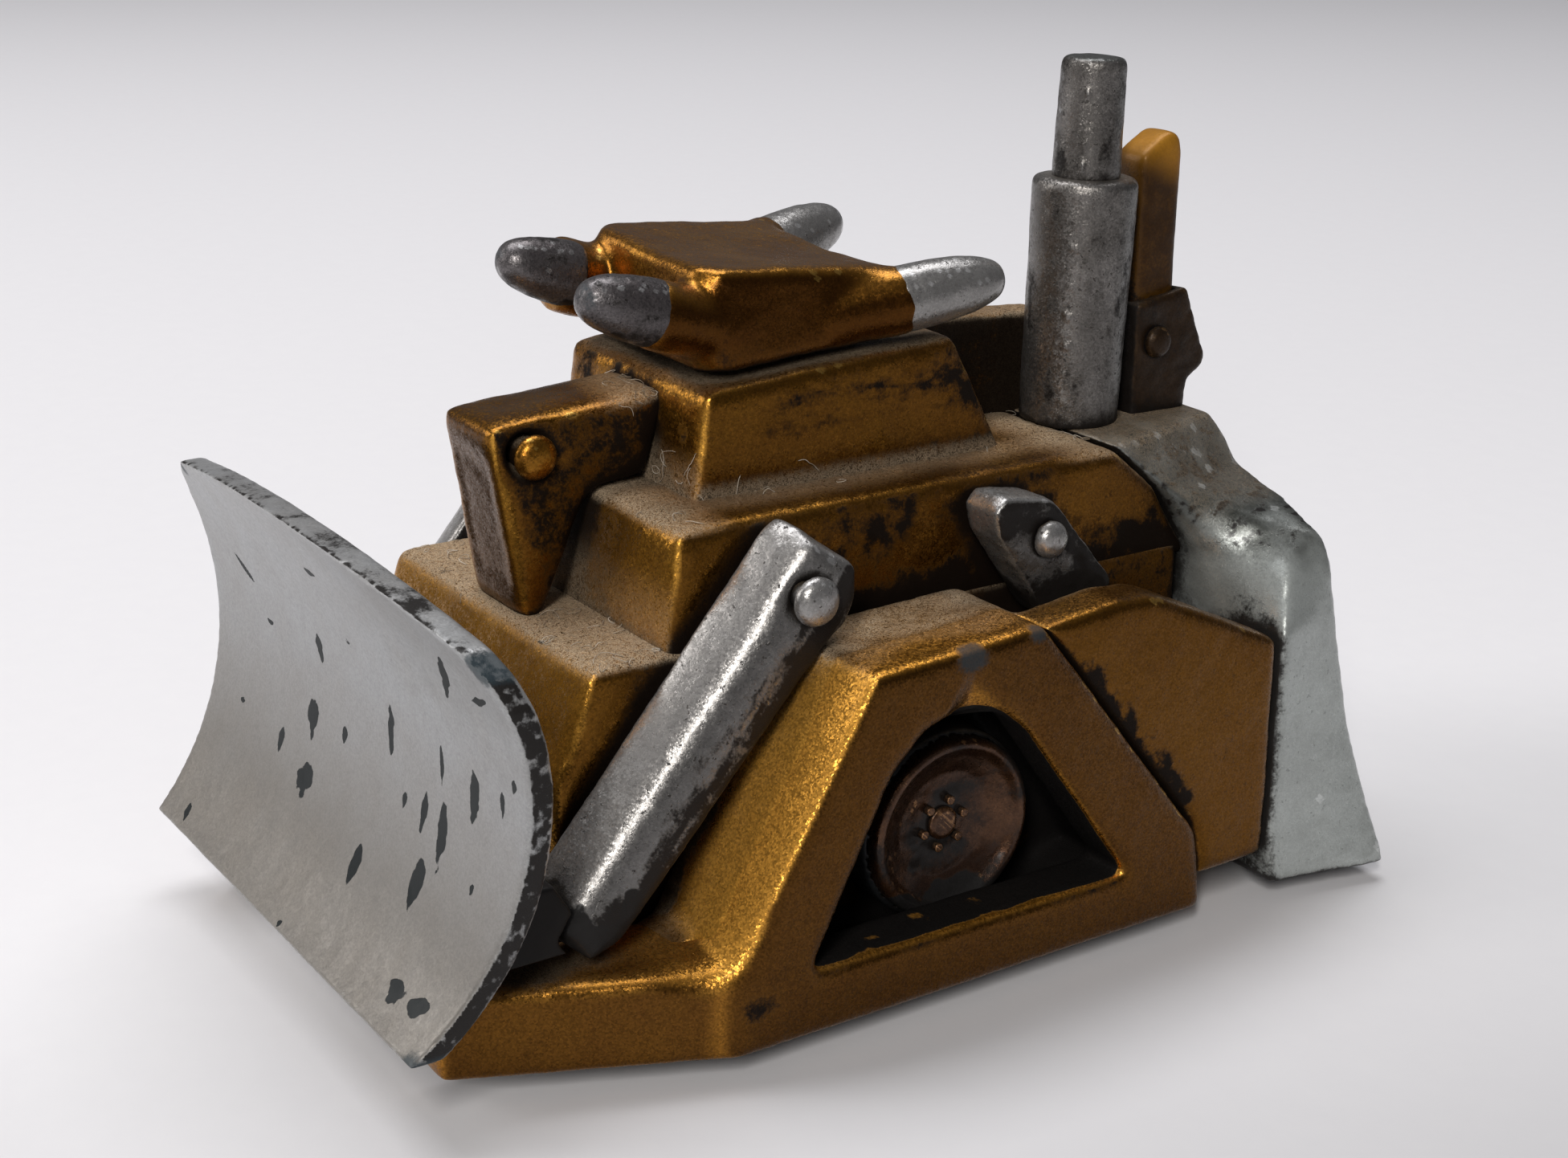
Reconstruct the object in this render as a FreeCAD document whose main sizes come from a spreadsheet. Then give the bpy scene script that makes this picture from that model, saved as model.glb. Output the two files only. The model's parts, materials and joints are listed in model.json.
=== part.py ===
import FreeCAD, Part
import Sketcher
import os
import math
from FreeCAD import Vector as V, Placement, Rotation

# Toy bulldozer, about 48 mm long, in millimetres.
# Front (blade) towards -Y, +Z up, origin on the ground under the middle of the toy.

doc = FreeCAD.newDocument("toy_bulldozer")
sheet = doc.addObject("Spreadsheet::Sheet", "dims")
ROW = [1]
VALUES = {}


def cell(alias, value):
    if alias in VALUES:
        return "dims." + alias
    sheet.set("A%d" % ROW[0], alias)
    sheet.set("B%d" % ROW[0], "%.6g" % value)
    sheet.setAlias("B%d" % ROW[0], alias)
    VALUES[alias] = float("%.6g" % value)
    ROW[0] += 1
    return "dims." + alias


# Driving dimensions of the main layout
DRIVE = dict(
    hull_half=8.8, upper_half=8.6, deck_height=20.15, belt_height=15.35, floor_height=3.4,
    frame_inner=12.6, frame_outer=15.4, guard_inner=8.9, guard_outer=14.9,
    arm_inner=9.2, arm_outer=12.2, arm_pin_y=-5.8, arm_pin_z=17.8,
    pin_shaft=0.6, pin_bore=0.66, pin_seat=0.61,
    axle_front_y=-8.0, axle_rear_y=10.0, axle_height=1.9, axle_rad=0.5, axle_bore=0.55,
    wheel_rad=1.9, wheel_bore=0.52, wheel_inner=5.5, wheel_width=1.7,
    turret_tilt=4.17, turret_y=-1.6, turret_z=25.15, peg_rad=1.5, peg_bore=1.57,
    blade_axis_y=-32.0, blade_axis_z=12.75, blade_front_rad=12.45, blade_back_rad=13.5,
)
for k, v in DRIVE.items():
    cell(k, v)


def plane_of(body, role):
    for f in body.Origin.OriginFeatures:
        if f.Role == role:
            return f
    raise RuntimeError(role)


def new_sketch(body, name, role, offset=None):
    sk = body.newObject("Sketcher::SketchObject", name)
    sk.AttachmentSupport = [(plane_of(body, role), "")]
    sk.MapMode = "FlatFace"
    if offset:
        sk.setExpression("AttachmentOffset.Base.z", offset)
    return sk


def add_poly(sk, key, pts):
    n = len(pts)
    g0 = sk.GeometryCount
    geo = []
    for i in range(n):
        a, b = pts[i], pts[(i + 1) % n]
        geo.append(Part.LineSegment(V(a[0], a[1], 0), V(b[0], b[1], 0)))
    sk.addGeometry(geo, False)
    cons = []
    for i in range(n):
        cons.append(Sketcher.Constraint("Coincident", g0 + i, 2, g0 + (i + 1) % n, 1))
    sk.addConstraint(cons)
    for i, (u, w) in enumerate(pts):
        for kind, val, tag, axis in (("DistanceX", u, "u", -2), ("DistanceY", w, "w", -1)):
            if abs(val) < 1e-6:
                sk.addConstraint(Sketcher.Constraint("PointOnObject", g0 + i, 1, axis))
            else:
                al = cell("%s_%s%s" % (key, tag, "abcdefghijklmnopqrstuvwxyz"[i]), val)
                ci = sk.addConstraint(Sketcher.Constraint(kind, -1, 1, g0 + i, 1, val))
                sk.setExpression("Constraints[%d]" % ci, al)


def add_circle(sk, key, u, w, r, u_name=None, w_name=None, r_name=None):
    g = sk.addGeometry(Part.Circle(V(u, w, 0), V(0, 0, 1), r), False)
    ci = sk.addConstraint(Sketcher.Constraint("Radius", g, r))
    sk.setExpression("Constraints[%d]" % ci, "dims." + r_name if r_name else cell(key + "_rad", r))
    for kind, val, tag, axis, nm in (("DistanceX", u, "cu", -2, u_name), ("DistanceY", w, "cw", -1, w_name)):
        if abs(val) < 1e-6:
            sk.addConstraint(Sketcher.Constraint("PointOnObject", g, 3, axis))
        else:
            ci = sk.addConstraint(Sketcher.Constraint(kind, -1, 1, g, 3, val))
            sk.setExpression("Constraints[%d]" % ci, "dims." + nm if nm else cell("%s_%s" % (key, tag), val))


def pad(body, sk, name, length, reverse=False):
    p = body.newObject("PartDesign::Pad", name)
    p.Profile = sk
    p.Reversed = reverse
    p.setExpression("Length", length)
    body.Tip = p
    return p


def pocket(body, sk, name, length, reverse=False):
    p = body.newObject("PartDesign::Pocket", name)
    p.Profile = sk
    p.Reversed = reverse
    p.setExpression("Length", length)
    body.Tip = p
    return p


def body_of(label):
    b = doc.addObject("PartDesign::Body", label)
    b.Label = label
    return b


NODES = []


def side_prism(label, pts, x0, x1, holes=(), key=None, hide=False):
    """Profile in the YZ plane, thick from x0 to x1."""
    key = key or label
    b = body_of(label)
    sk = new_sketch(b, label + "_profile", "YZ_Plane", cell(key + "_start", x0))
    add_poly(sk, key, pts)
    for i, h in enumerate(holes):
        if len(h) == 3:
            add_circle(sk, key + "_hole%s" % "abcd"[i], h[0], h[1], h[2])
        else:
            add_poly(sk, key + "_win%s" % "abcd"[i], h)
    pad(b, sk, label + "_pad", cell(key + "_thick", x1 - x0))
    if not hide:
        NODES.append(b)
    return b


def fillet(body, name, pick, rad, prev):
    """Rounds the edges that pick() chooses; pick gets each edge."""
    doc.recompute()
    shape = prev.Shape
    names = ["Edge%d" % (i + 1) for i, e in enumerate(shape.Edges) if pick(e)]
    if not names:
        return prev
    f = body.newObject("PartDesign::Fillet", name)
    f.Base = (prev, names)
    f.setExpression("Radius", rad)
    body.Tip = f
    return f


def mid(e):
    return e.valueAt((e.FirstParameter + e.LastParameter) / 2.0)


SIDES = (("left", 1.0), ("right", -1.0))


def mirror_range(s, a, b):
    return (a, b) if s > 0 else (-b, -a)


# ---------------------------------------------------------------- chassis
base = body_of("base_plate")
sk = new_sketch(base, "base_plan", "XY_Plane", cell("base_low", 2.3))
plan = [(-8.5, -14.6), (8.5, -14.6), (8.5, -10.2), (5.2, -10.2), (5.2, -5.8), (8.5, -5.8),
        (8.5, 7.8), (5.2, 7.8), (5.2, 12.2), (8.5, 12.2), (8.5, 16.4), (-8.5, 16.4),
        (-8.5, 12.2), (-5.2, 12.2), (-5.2, 7.8), (-8.5, 7.8), (-8.5, -5.8), (-5.2, -5.8),
        (-5.2, -10.2), (-8.5, -10.2)]
add_poly(sk, "base", plan)
for nm, y in (("fore", -2.5), ("aft", 4.5)):
    add_circle(sk, "base_screw_" + nm, 0.0, y, 0.62)
pad(base, sk, "base_pad", cell("base_thick", 1.1))
sk = new_sketch(base, "base_saddles", "XY_Plane", cell("base_saddle_low", 0.9))
add_poly(sk, "saddle_fore", [(-4.8, -9.4), (4.8, -9.4), (4.8, -6.6), (-4.8, -6.6)])
add_poly(sk, "saddle_aft", [(-4.8, 8.6), (4.8, 8.6), (4.8, 11.4), (-4.8, 11.4)])
pad(base, sk, "base_saddle_pad", cell("base_saddle_tall", 1.5))
sk = new_sketch(base, "base_bores", "YZ_Plane", cell("base_bore_start", -6.0))
add_circle(sk, "bore_fore", DRIVE["axle_front_y"], DRIVE["axle_height"], 0.55, "axle_front_y", "axle_height", "axle_bore")
add_circle(sk, "bore_aft", DRIVE["axle_rear_y"], DRIVE["axle_height"], 0.55, "axle_rear_y", "axle_height", "axle_bore")
pocket(base, sk, "base_bore_cut", cell("base_bore_len", 12.0), reverse=True)
NODES.append(base)

# lower hull casting, hollow from below, with two screw posts
hull = body_of("hull_lower")
sk = new_sketch(hull, "hull_side", "YZ_Plane", cell("hull_start", -8.8))
add_poly(sk, "hull", [(-15.3, 3.4), (-15.3, 11.0), (-14.6, 12.0), (-13.5, 15.35), (16.7, 15.35), (16.7, 3.4)])
pad(hull, sk, "hull_pad", cell("hull_width", 17.6))
sk = new_sketch(hull, "hull_cavity", "XY_Plane", cell("hull_floor", 3.4))
add_poly(sk, "cavity", [(-7.4, -13.6), (7.4, -13.6), (7.4, 15.3), (-7.4, 15.3)])
pocket(hull, sk, "hull_cavity_cut", cell("hull_cavity_deep", 10.4), reverse=True)
sk = new_sketch(hull, "hull_posts", "XY_Plane", cell("hull_post_low", 3.4))
for nm, y in (("fore", -2.5), ("aft", 4.5)):
    add_circle(sk, "post_" + nm, 0.0, y, 1.6)
pad(hull, sk, "hull_post_pad", cell("hull_post_tall", 10.6))
sk = new_sketch(hull, "hull_post_holes", "XY_Plane", cell("hull_post_floor", 3.4))
for nm, y in (("fore", -2.5), ("aft", 4.5)):
    add_circle(sk, "posthole_" + nm, 0.0, y, 0.58)
pocket(hull, sk, "hull_post_cut", cell("hull_posthole_deep", 5.0), reverse=True)
NODES.append(hull)

# upper hull, solid block with the pivot bore of the lift arms and the strut pins
side_prism("hull_upper", [(-10.3, 15.35), (-9.6, 20.15), (12.6, 20.15), (15.2, 18.0), (16.65, 15.35)],
           -8.6, 8.6, holes=[(DRIVE["arm_pin_y"], DRIVE["arm_pin_z"], 0.61), (6.7, 17.85, 0.51)])

# nose block and its pin
side_prism("nose_block", [(-14.05, 23.2), (-6.62, 23.75), (-7.14, 20.18), (-9.72, 20.18), (-12.0, 15.4),
                          (-12.75, 15.4)], -2.35, 2.35, holes=[(-12.48, 22.05, 0.71)])

# superstructure with the tilted top that carries the turret
sup = side_prism("superstructure_block", [(-7.1, 20.15), (-6.45, 24.5), (5.9, 25.4), (9.2, 20.15)], -5.6, 5.6,
                 key="super", hide=True)
doc.recompute()
TILT = DRIVE["turret_tilt"]


def tilted(obj, base_shift=0.0):
    """Places an object in the frame of the turret: swivel axis through its origin."""
    c, s_ = math.cos(math.radians(TILT)), math.sin(math.radians(TILT))
    obj.Placement = Placement(V(0, DRIVE["turret_y"] - s_ * base_shift, DRIVE["turret_z"] + c * base_shift),
                              Rotation(V(1, 0, 0), TILT))
    sh = cell("shift_" + obj.Name.lower(), base_shift)
    obj.setExpression("Placement.Rotation.Angle", "dims.turret_tilt")
    obj.setExpression("Placement.Base.y", "dims.turret_y - sin(dims.turret_tilt * 1 deg) * %s" % sh)
    obj.setExpression("Placement.Base.z", "dims.turret_z + cos(dims.turret_tilt * 1 deg) * %s" % sh)


bore = doc.addObject("Part::Cylinder", "turret_bore")
bore.setExpression("Radius", "dims.peg_bore")
bore.setExpression("Height", cell("turret_bore_deep", 4.0))
tilted(bore, -3.2)
supc = doc.addObject("Part::Cut", "superstructure")
supc.Base = sup
supc.Tool = bore
supc.Label = "superstructure"
NODES.append(supc)

side_prism("engine_cover", [(9.3, 20.2), (6.15, 25.2), (7.0, 25.05), (14.9, 24.6), (16.2, 20.2)], -1.05, 1.05)

# ---------------------------------------------------------------- turret
slab = body_of("turret_slab")
sk = new_sketch(slab, "turret_plan", "XY_Plane")
add_poly(sk, "turret", [(-3.9, -4.35), (3.9, -4.35), (5.0, -3.6), (5.0, 3.4), (4.2, 4.35), (-4.2, 4.35),
                        (-5.0, 3.4), (-5.0, -3.6)])
p = pad(slab, sk, "turret_pad", cell("turret_tall", 4.6))
p.setExpression("TaperAngle", cell("turret_taper", -5.0))
sk = new_sketch(slab, "turret_top", "YZ_Plane", cell("turret_top_start", -7.0))
add_poly(sk, "turret_cut", [(-7.0, 4.62), (-4.4, 4.35), (4.4, 2.95), (7.0, 2.3), (7.0, 6.0), (-7.0, 6.0)])
pocket(slab, sk, "turret_top_cut", cell("turret_top_span", 14.0), reverse=True)
tilted(slab)
doc.recompute()


def world_to_turret(p):
    c, s_ = math.cos(math.radians(TILT)), math.sin(math.radians(TILT))
    y, z = p[1] - DRIVE["turret_y"], p[2] - DRIVE["turret_z"]
    return V(p[0], c * y + s_ * z, -s_ * y + c * z)


# four spikes: (root point, tip point) in world millimetres
SPIKES = {
    "front_left": ((3.75, -7.0, 27.25), (3.65, -11.0, 28.5)),
    "front_right": ((-3.75, -7.0, 27.25), (-3.65, -11.0, 28.5)),
    "rear_left": ((5.0, 3.75, 27.05), (6.05, 7.95, 27.75)),
    "rear_right": ((-5.0, 3.75, 27.05), (-6.05, 7.95, 27.75)),
}
collars = []
spike_objs = []
for nm, (ra, tip) in SPIKES.items():
    a, t = V(*ra), V(*tip)
    d = (t - a)
    length = d.Length
    d.normalize()
    rr = 1.72 if nm.startswith("front") else 1.55
    for tag, val in (("root_x", ra[0]), ("root_y", ra[1]), ("root_z", ra[2]), ("long", length), ("wide", rr)):
        cell("spike_%s_%s" % (nm, tag), val)
    # gold root that grows out of the corner of the turret
    cone = doc.addObject("Part::Cone", "turret_root_" + nm)
    back = 2.6
    cone.setExpression("Radius1", "dims.spike_%s_wide" % nm)
    cone.setExpression("Radius2", "dims.spike_%s_wide" % nm + " - 0.02")
    cone.setExpression("Height", cell("turret_root_long", back))
    rot = Rotation(V(0, 0, 1), d)
    cone.Placement = Placement(a - d * back, rot)
    collars.append(cone)
    # silver spike: bullet turned about its own axis
    prof = [V(0, 0, 0), V(rr - 0.06, 0, 0)]
    n = 9
    arc = [V((rr - 0.06) * math.cos(math.radians(90.0 * i / n)) ** 0.62, 0,
             length * math.sin(math.radians(90.0 * i / n))) for i in range(n + 1)]
    arc[-1] = V(0, 0, length)
    bs = Part.BSplineCurve()
    bs.interpolate(arc)
    wire = Part.Wire([Part.makeLine(V(0, 0, 0), arc[0]), bs.toShape(), Part.makeLine(arc[-1], V(0, 0, 0))])
    sp = doc.addObject("Part::Feature", "spike_" + nm)
    sp.Shape = Part.Face(wire).revolve(V(0, 0, 0), V(0, 0, 1), 360)
    sp.Placement = Placement(a, rot)
    sp.Label = "spike_" + nm
    spike_objs.append(sp)
doc.recompute()
tb = doc.addObject("Part::MultiFuse", "turret_body")
tb.Shapes = [slab] + collars
tb.Label = "turret_body"
NODES.append(tb)
NODES.extend(spike_objs)
peg = doc.addObject("Part::Cylinder", "turret_peg")
peg.setExpression("Radius", "dims.peg_rad")
peg.setExpression("Height", cell("turret_peg_long", 2.95))
tilted(peg, -2.95)
peg.Label = "turret_peg"
NODES.append(peg)

# ---------------------------------------------------------------- sides
FRAME = [(-10.8, 0.9), (-11.0, 4.35), (-11.66, 4.7), (-7.05, 12.2), (-4.97, 15.5), (-1.0, 15.66),
         (3.3, 15.98), (3.95, 15.15), (12.5, 4.7), (12.8, 3.3), (13.1, 0.9)]
WINDOW = [(-7.55, 3.75), (-3.94, 11.1), (-2.5, 12.6), (-1.7, 12.9), (1.4, 12.55), (2.7, 11.6), (8.55, 3.65)]
FOOT = [(8.95, -21.4), (10.8, -21.4), (15.4, -10.9), (15.4, -9.5), (8.95, -9.5)]
GUARD = [(-9.4, 4.75), (-11.5, 4.75), (-4.97, 15.3), (3.6, 15.3), (6.6, 13.7), (11.6, 13.5), (16.9, 11.8), (16.9, 2.2), (13.2, 2.0),
         (13.2, 1.4), (-9.4, 1.4)]
FENDER = [(3.7, 15.55), (7.5, 16.0), (9.6, 15.9), (17.0, 12.5), (17.2, 2.2), (13.3, 2.1), (13.0, 3.5),
          (12.65, 4.85), (4.1, 15.2)]
RECESS = [(-8.6, 3.1), (-4.6, 11.6), (-2.6, 13.4), (2.0, 13.2), (3.4, 12.2), (9.6, 3.1), (6.4, 2.15), (-5.6, 2.15)]
for side, s in SIDES:
    # triangular outer frame with the push foot that toes in to the blade
    fr = body_of("side_frame_" + side)
    a, b = mirror_range(s, 12.6, 15.4)
    sk = new_sketch(fr, "frame_profile_" + side, "YZ_Plane", cell("frame_start_" + side, a))
    add_poly(sk, "frame", FRAME)
    add_poly(sk, "window", WINDOW)
    pad(fr, sk, "frame_pad_" + side, cell("frame_thick", 2.8))
    sk = new_sketch(fr, "foot_plan_" + side, "XY_Plane", cell("foot_low", 0.9))
    add_poly(sk, "foot_" + side, [(s * u, w) for u, w in FOOT])
    last = pad(fr, sk, "foot_pad_" + side, cell("foot_tall", 3.75))
    sk = new_sketch(fr, "foot_nose_" + side, "YZ_Plane", cell("foot_nose_start", -16.5))
    add_poly(sk, "foot_nose", [(-22.5, 3.1), (-21.7, 3.1), (-20.55, 4.8), (-20.55, 5.2), (-22.5, 5.2)])
    last = pocket(fr, sk, "foot_nose_cut_" + side, cell("foot_nose_span", 33.0), reverse=True)
    doc.recompute()

    def inner_corner(e):
        m = mid(e)
        return abs(m.y + 11.6) < 0.25 and abs(m.z - 4.65) < 0.2 and abs(m.x * s - 14.0) < 1.6 and \
            abs(e.Vertexes[0].Point.y - e.Vertexes[-1].Point.y) < 0.05
    trial = fillet(fr, "foot_blend_" + side, inner_corner, cell("foot_blend", 2.4), last)
    if trial is not last:
        doc.recompute()
        if trial.State and "Invalid" in trial.State or trial.Shape.isNull():
            fr.removeObject(trial)
            doc.removeObject(trial.Name)
            fr.Tip = last
    NODES.append(fr)

    # track guard: inner wall, recess for the idler, and the rear fender
    g = body_of("track_guard_" + side)
    a, b = mirror_range(s, 8.9, 12.5)
    sk = new_sketch(g, "guard_profile_" + side, "YZ_Plane", cell("guard_start_" + side, a))
    add_poly(sk, "guard", GUARD)
    pad(g, sk, "guard_pad_" + side, cell("guard_thick", 3.6))
    a, b = mirror_range(s, 12.4, 14.9)
    sk = new_sketch(g, "fender_profile_" + side, "YZ_Plane", cell("fender_start_" + side, a))
    add_poly(sk, "fender", FENDER)
    pad(g, sk, "fender_pad_" + side, cell("fender_thick", 2.5))
    a, b = mirror_range(s, 10.0, 12.7)
    sk = new_sketch(g, "recess_profile_" + side, "YZ_Plane", cell("recess_start_" + side, a))
    add_poly(sk, "recess", RECESS)
    pocket(g, sk, "recess_cut_" + side, cell("recess_deep", 2.7), reverse=True)
    NODES.append(g)

    # idler wheel seen through the window: tyre, dished disc, hub and bolts
    def idler(name, prof):
        """Turned about the X axis: prof is (x, r), x measured outwards."""
        pts = [V(s * x, 0, r) for x, r in prof]
        wire = Part.makePolygon(pts + [pts[0]])
        f = doc.addObject("Part::Feature", name + "_" + side)
        f.Shape = Part.Face(wire).revolve(V(0, 0, 0), V(1, 0, 0), 360)
        f.Placement = Placement(V(0, VALUES["idler_y"], VALUES["idler_z"]), Rotation())
        f.Label = name + "_" + side
        NODES.append(f)
        return f
    cell("idler_y", 1.35)
    cell("idler_z", 6.45)
    ty = cell("idler_tyre_rad", 4.15) and VALUES["idler_tyre_rad"]
    di = cell("idler_disc_rad", 3.95) and VALUES["idler_disc_rad"]
    idler("idler_tyre", [(10.0, di + 0.02), (10.0, ty - 0.15), (10.15, ty), (11.75, ty), (11.95, ty - 0.25), (11.95, di + 0.02)])
    idler("idler_disc", [(10.0, 0.0), (10.0, di), (12.35, di), (12.5, di - 0.15), (12.5, di - 0.4), (12.15, di - 0.75),
                         (11.75, 2.3), (11.6, 1.3), (11.6, 0.0)])
    idler("idler_hub", [(11.6, 0.0), (11.6, 0.75), (11.78, 0.72), (11.85, 0.55), (11.85, 0.0)])
    bolts = []
    cell("idler_bolt_ring", 1.05)
    cell("idler_bolt_rad", 0.2)
    for k in range(6):
        an = math.radians(60.0 * k + 15.0)
        c = Part.makeCylinder(VALUES["idler_bolt_rad"], 0.3, V(11.6 if s > 0 else -11.9,
                              VALUES["idler_bolt_ring"] * math.cos(an), VALUES["idler_bolt_ring"] * math.sin(an)), V(1, 0, 0))
        bolts.append(c)
    f = doc.addObject("Part::Feature", "idler_bolts_" + side)
    f.Shape = Part.makeCompound(bolts)
    f.Placement = Placement(V(0, VALUES["idler_y"], VALUES["idler_z"]), Rotation())
    f.Label = "idler_bolts_" + side
    NODES.append(f)

# ---------------------------------------------------------------- blade and its arms
ARM = [(-5.4, 20.2), (-16.2, 7.2), (-16.9, 6.2), (-15.6, 5.0), (-14.2, 5.5), (-4.75, 16.0), (-4.1, 16.35),
       (-3.62, 17.3), (-3.62, 18.75)]
BRACKET = [(-16.25, 7.25), (-17.05, 8.6), (-19.05, 8.6), (-19.68, 7.0), (-20.4, 5.6), (-16.5, 5.6), (-16.94, 6.2)]
LUG = [(3.9, 19.3), (4.5, 19.9), (6.9, 19.5), (7.5, 19.0), (10.6, 15.3), (10.3, 14.7), (7.4, 14.1), (6.9, 14.35), (4.2, 18.2)]
for side, s in SIDES:
    a, b = mirror_range(s, 9.2, 12.2)
    arm = side_prism("lift_arm_" + side, ARM, a, b, holes=[(DRIVE["arm_pin_y"], DRIVE["arm_pin_z"], 0.66)], key="arm_" + side)
    a, b = mirror_range(s, 9.4, 12.0)
    side_prism("blade_bracket_" + side, BRACKET, a, b, key="bracket_" + side)
    a, b = mirror_range(s, 8.85, 11.2)
    side_prism("rear_strut_" + side, LUG, a, b, holes=[(6.7, 17.85, 0.52)], key="strut_" + side)

    def turned_pin(name, prof, y, z, s=s):
        pts = [V(s * x, 0, r) for x, r in prof]
        wire = Part.makePolygon(pts + [pts[0]])
        f = doc.addObject("Part::Feature", name)
        f.Shape = Part.Face(wire).revolve(V(0, 0, 0), V(1, 0, 0), 360)
        f.Placement = Placement(V(0, y, z), Rotation())
        f.Label = name
        NODES.append(f)
    r = DRIVE["pin_shaft"]
    turned_pin("lift_pin_" + side, [(7.8, 0), (7.8, r), (12.3, r), (12.3, 1.0), (12.6, 0.98), (12.85, 0.78), (13.0, 0.45), (13.05, 0)],
               DRIVE["arm_pin_y"], DRIVE["arm_pin_z"])
    turned_pin("strut_pin_" + side, [(7.8, 0), (7.8, 0.5), (11.22, 0.5), (11.22, 0.82), (11.5, 0.8), (11.75, 0.62), (11.88, 0.35),
                                     (11.92, 0)], 6.7, 17.85)

f = doc.addObject("Part::Feature", "nose_pin")
cell("nose_pin_y", -12.48)
cell("nose_pin_z", 22.05)
cell("nose_pin_rad", 0.7)
half = [(0, 0), (0, 0.7), (2.37, 0.7), (2.37, 0.95), (2.7, 0.93), (2.95, 0.72), (3.08, 0.4), (3.12, 0)]
pts = [V(x, 0, r) for x, r in half]
sh = Part.Face(Part.makePolygon(pts + [pts[0]])).revolve(V(0, 0, 0), V(1, 0, 0), 360)
sh = sh.fuse(sh.mirror(V(0, 0, 0), V(1, 0, 0))).removeSplitter()
f.Shape = sh
f.Placement = Placement(V(0, VALUES["nose_pin_y"], VALUES["nose_pin_z"]), Rotation())
f.Label = "nose_pin"
NODES.append(f)

# mouldboard: part of a drum about a cross axis, trimmed to a barrel outline
outer = doc.addObject("Part::Cylinder", "blade_drum_outer")
outer.setExpression("Radius", "dims.blade_back_rad")
inner = doc.addObject("Part::Cylinder", "blade_drum_inner")
inner.setExpression("Radius", "dims.blade_front_rad")
for o, ext in ((outer, 0.0), (inner, 1.0)):
    o.Height = 36 + 2 * ext
    o.Placement = Placement(V(-18 - ext, DRIVE["blade_axis_y"], DRIVE["blade_axis_z"]), Rotation(V(0, 1, 0), 90))
    o.setExpression("Placement.Base.y", "dims.blade_axis_y")
    o.setExpression("Placement.Base.z", "dims.blade_axis_z")
drum = doc.addObject("Part::Cut", "blade_drum")
drum.Base = outer
drum.Tool = inner
mask = body_of("blade_outline_body")
sk = new_sketch(mask, "blade_outline", "XZ_Plane", cell("blade_outline_back", 17.2))
B = dict(low_half=13.12, low_z=3.42, mid_half=15.25, mid_z=15.7, top_half=13.5, top_z=19.25, crown_z=20.4)
for k, v in B.items():
    cell("blade_" + k, v)


def arc_pts(p0, p1, p2, n):
    c = Part.Arc(V(p0[0], p0[1], 0), V(p1[0], p1[1], 0), V(p2[0], p2[1], 0))
    return [(q.x, q.y) for q in c.discretize(n)]


right = [(13.12, 3.42), (13.55, 5.0), (14.0, 7.0), (14.4, 9.0), (14.75, 11.4), (15.05, 13.6), (15.25, 15.7), (15.2, 17.3),
         (14.65, 18.45)]
top = arc_pts((13.5, 19.25), (0.0, 20.4), (-13.5, 19.25), 7)
outline = right + top + [(-x, z) for x, z in reversed(right)]
add_poly(sk, "blade", [(round(x, 4), round(z, 4)) for x, z in outline])
pad(mask, sk, "blade_outline_pad", cell("blade_outline_deep", 8.5), reverse=False)
doc.recompute()
blade = doc.addObject("Part::Common", "blade_plate")
blade.Base = drum
blade.Tool = mask
blade.Label = "blade"
NODES.append(blade)

# ---------------------------------------------------------------- stack, rear post, skirt
cell("stack_x", 3.35)
cell("stack_y", 14.25)
cell("stack_foot", 20.15)
cell("stack_shoulder", 30.95)
cell("stack_tip", 36.1)
cell("stack_lean", 1.55)
for nm, z0, z1, r0, r1, edge in (("stack_lower", "stack_foot", "stack_shoulder", 2.22, 2.34, 0.35),
                                 ("stack_upper", "stack_shoulder", "stack_tip", 1.52, 1.42, 0.3)):
    cell(nm + "_r_low", r0)
    cell(nm + "_r_top", r1)
    cell(nm + "_edge", edge)
    cone = doc.addObject("Part::Cone", nm + "_cone")
    cone.setExpression("Radius1", "dims.%s_r_low" % nm)
    cone.setExpression("Radius2", "dims.%s_r_top" % nm)
    cone.setExpression("Height", "dims.%s - dims.%s" % (z1, z0))
    doc.recompute()
    rim = [k + 1 for k, e in enumerate(cone.Shape.Edges) if len(e.Vertexes) == 1 and e.CenterOfMass.z > cone.Height.Value * 0.9]
    eased = doc.addObject("Part::Fillet", nm)
    eased.Base = cone
    eased.Edges = [(k, edge, edge) for k in rim]
    rise = VALUES[z0] - VALUES["stack_foot"]
    lean = math.radians(VALUES["stack_lean"])
    eased.Placement = Placement(V(VALUES["stack_x"], VALUES["stack_y"] + rise * math.sin(lean), VALUES["stack_foot"] + 0.1 + rise * math.cos(lean)),
                                Rotation(V(1, 0, 0), -VALUES["stack_lean"]))
    eased.Label = nm
    NODES.append(eased)

post = side_prism("rear_post", [(17.3, 22.3), (17.3, 31.75), (18.9, 32.75), (19.25, 32.8), (19.6, 32.45), (19.75, 31.7), (19.75, 22.3)],
                  1.95, 4.05, holes=[(18.2, 23.4, 0.46)])
brk = side_prism("post_bracket", [(16.95, 20.16), (16.95, 25.2), (19.95, 25.75), (20.3, 24.9), (21.45, 22.35), (21.35, 21.9),
                                  (20.35, 21.4), (20.3, 20.16)], 1.4, 4.6, holes=[(18.2, 23.4, 0.46)])
sk = new_sketch(brk, "bracket_slot", "XY_Plane", cell("bracket_slot_floor", 22.25))
add_poly(sk, "slot", [(1.9, 17.22), (4.1, 17.22), (4.1, 19.82), (1.9, 19.82)])
pocket(brk, sk, "bracket_slot_cut", cell("bracket_slot_deep", 5.0), reverse=True)
f = doc.addObject("Part::Feature", "post_pin")
cell("post_pin_y", 18.2)
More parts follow.
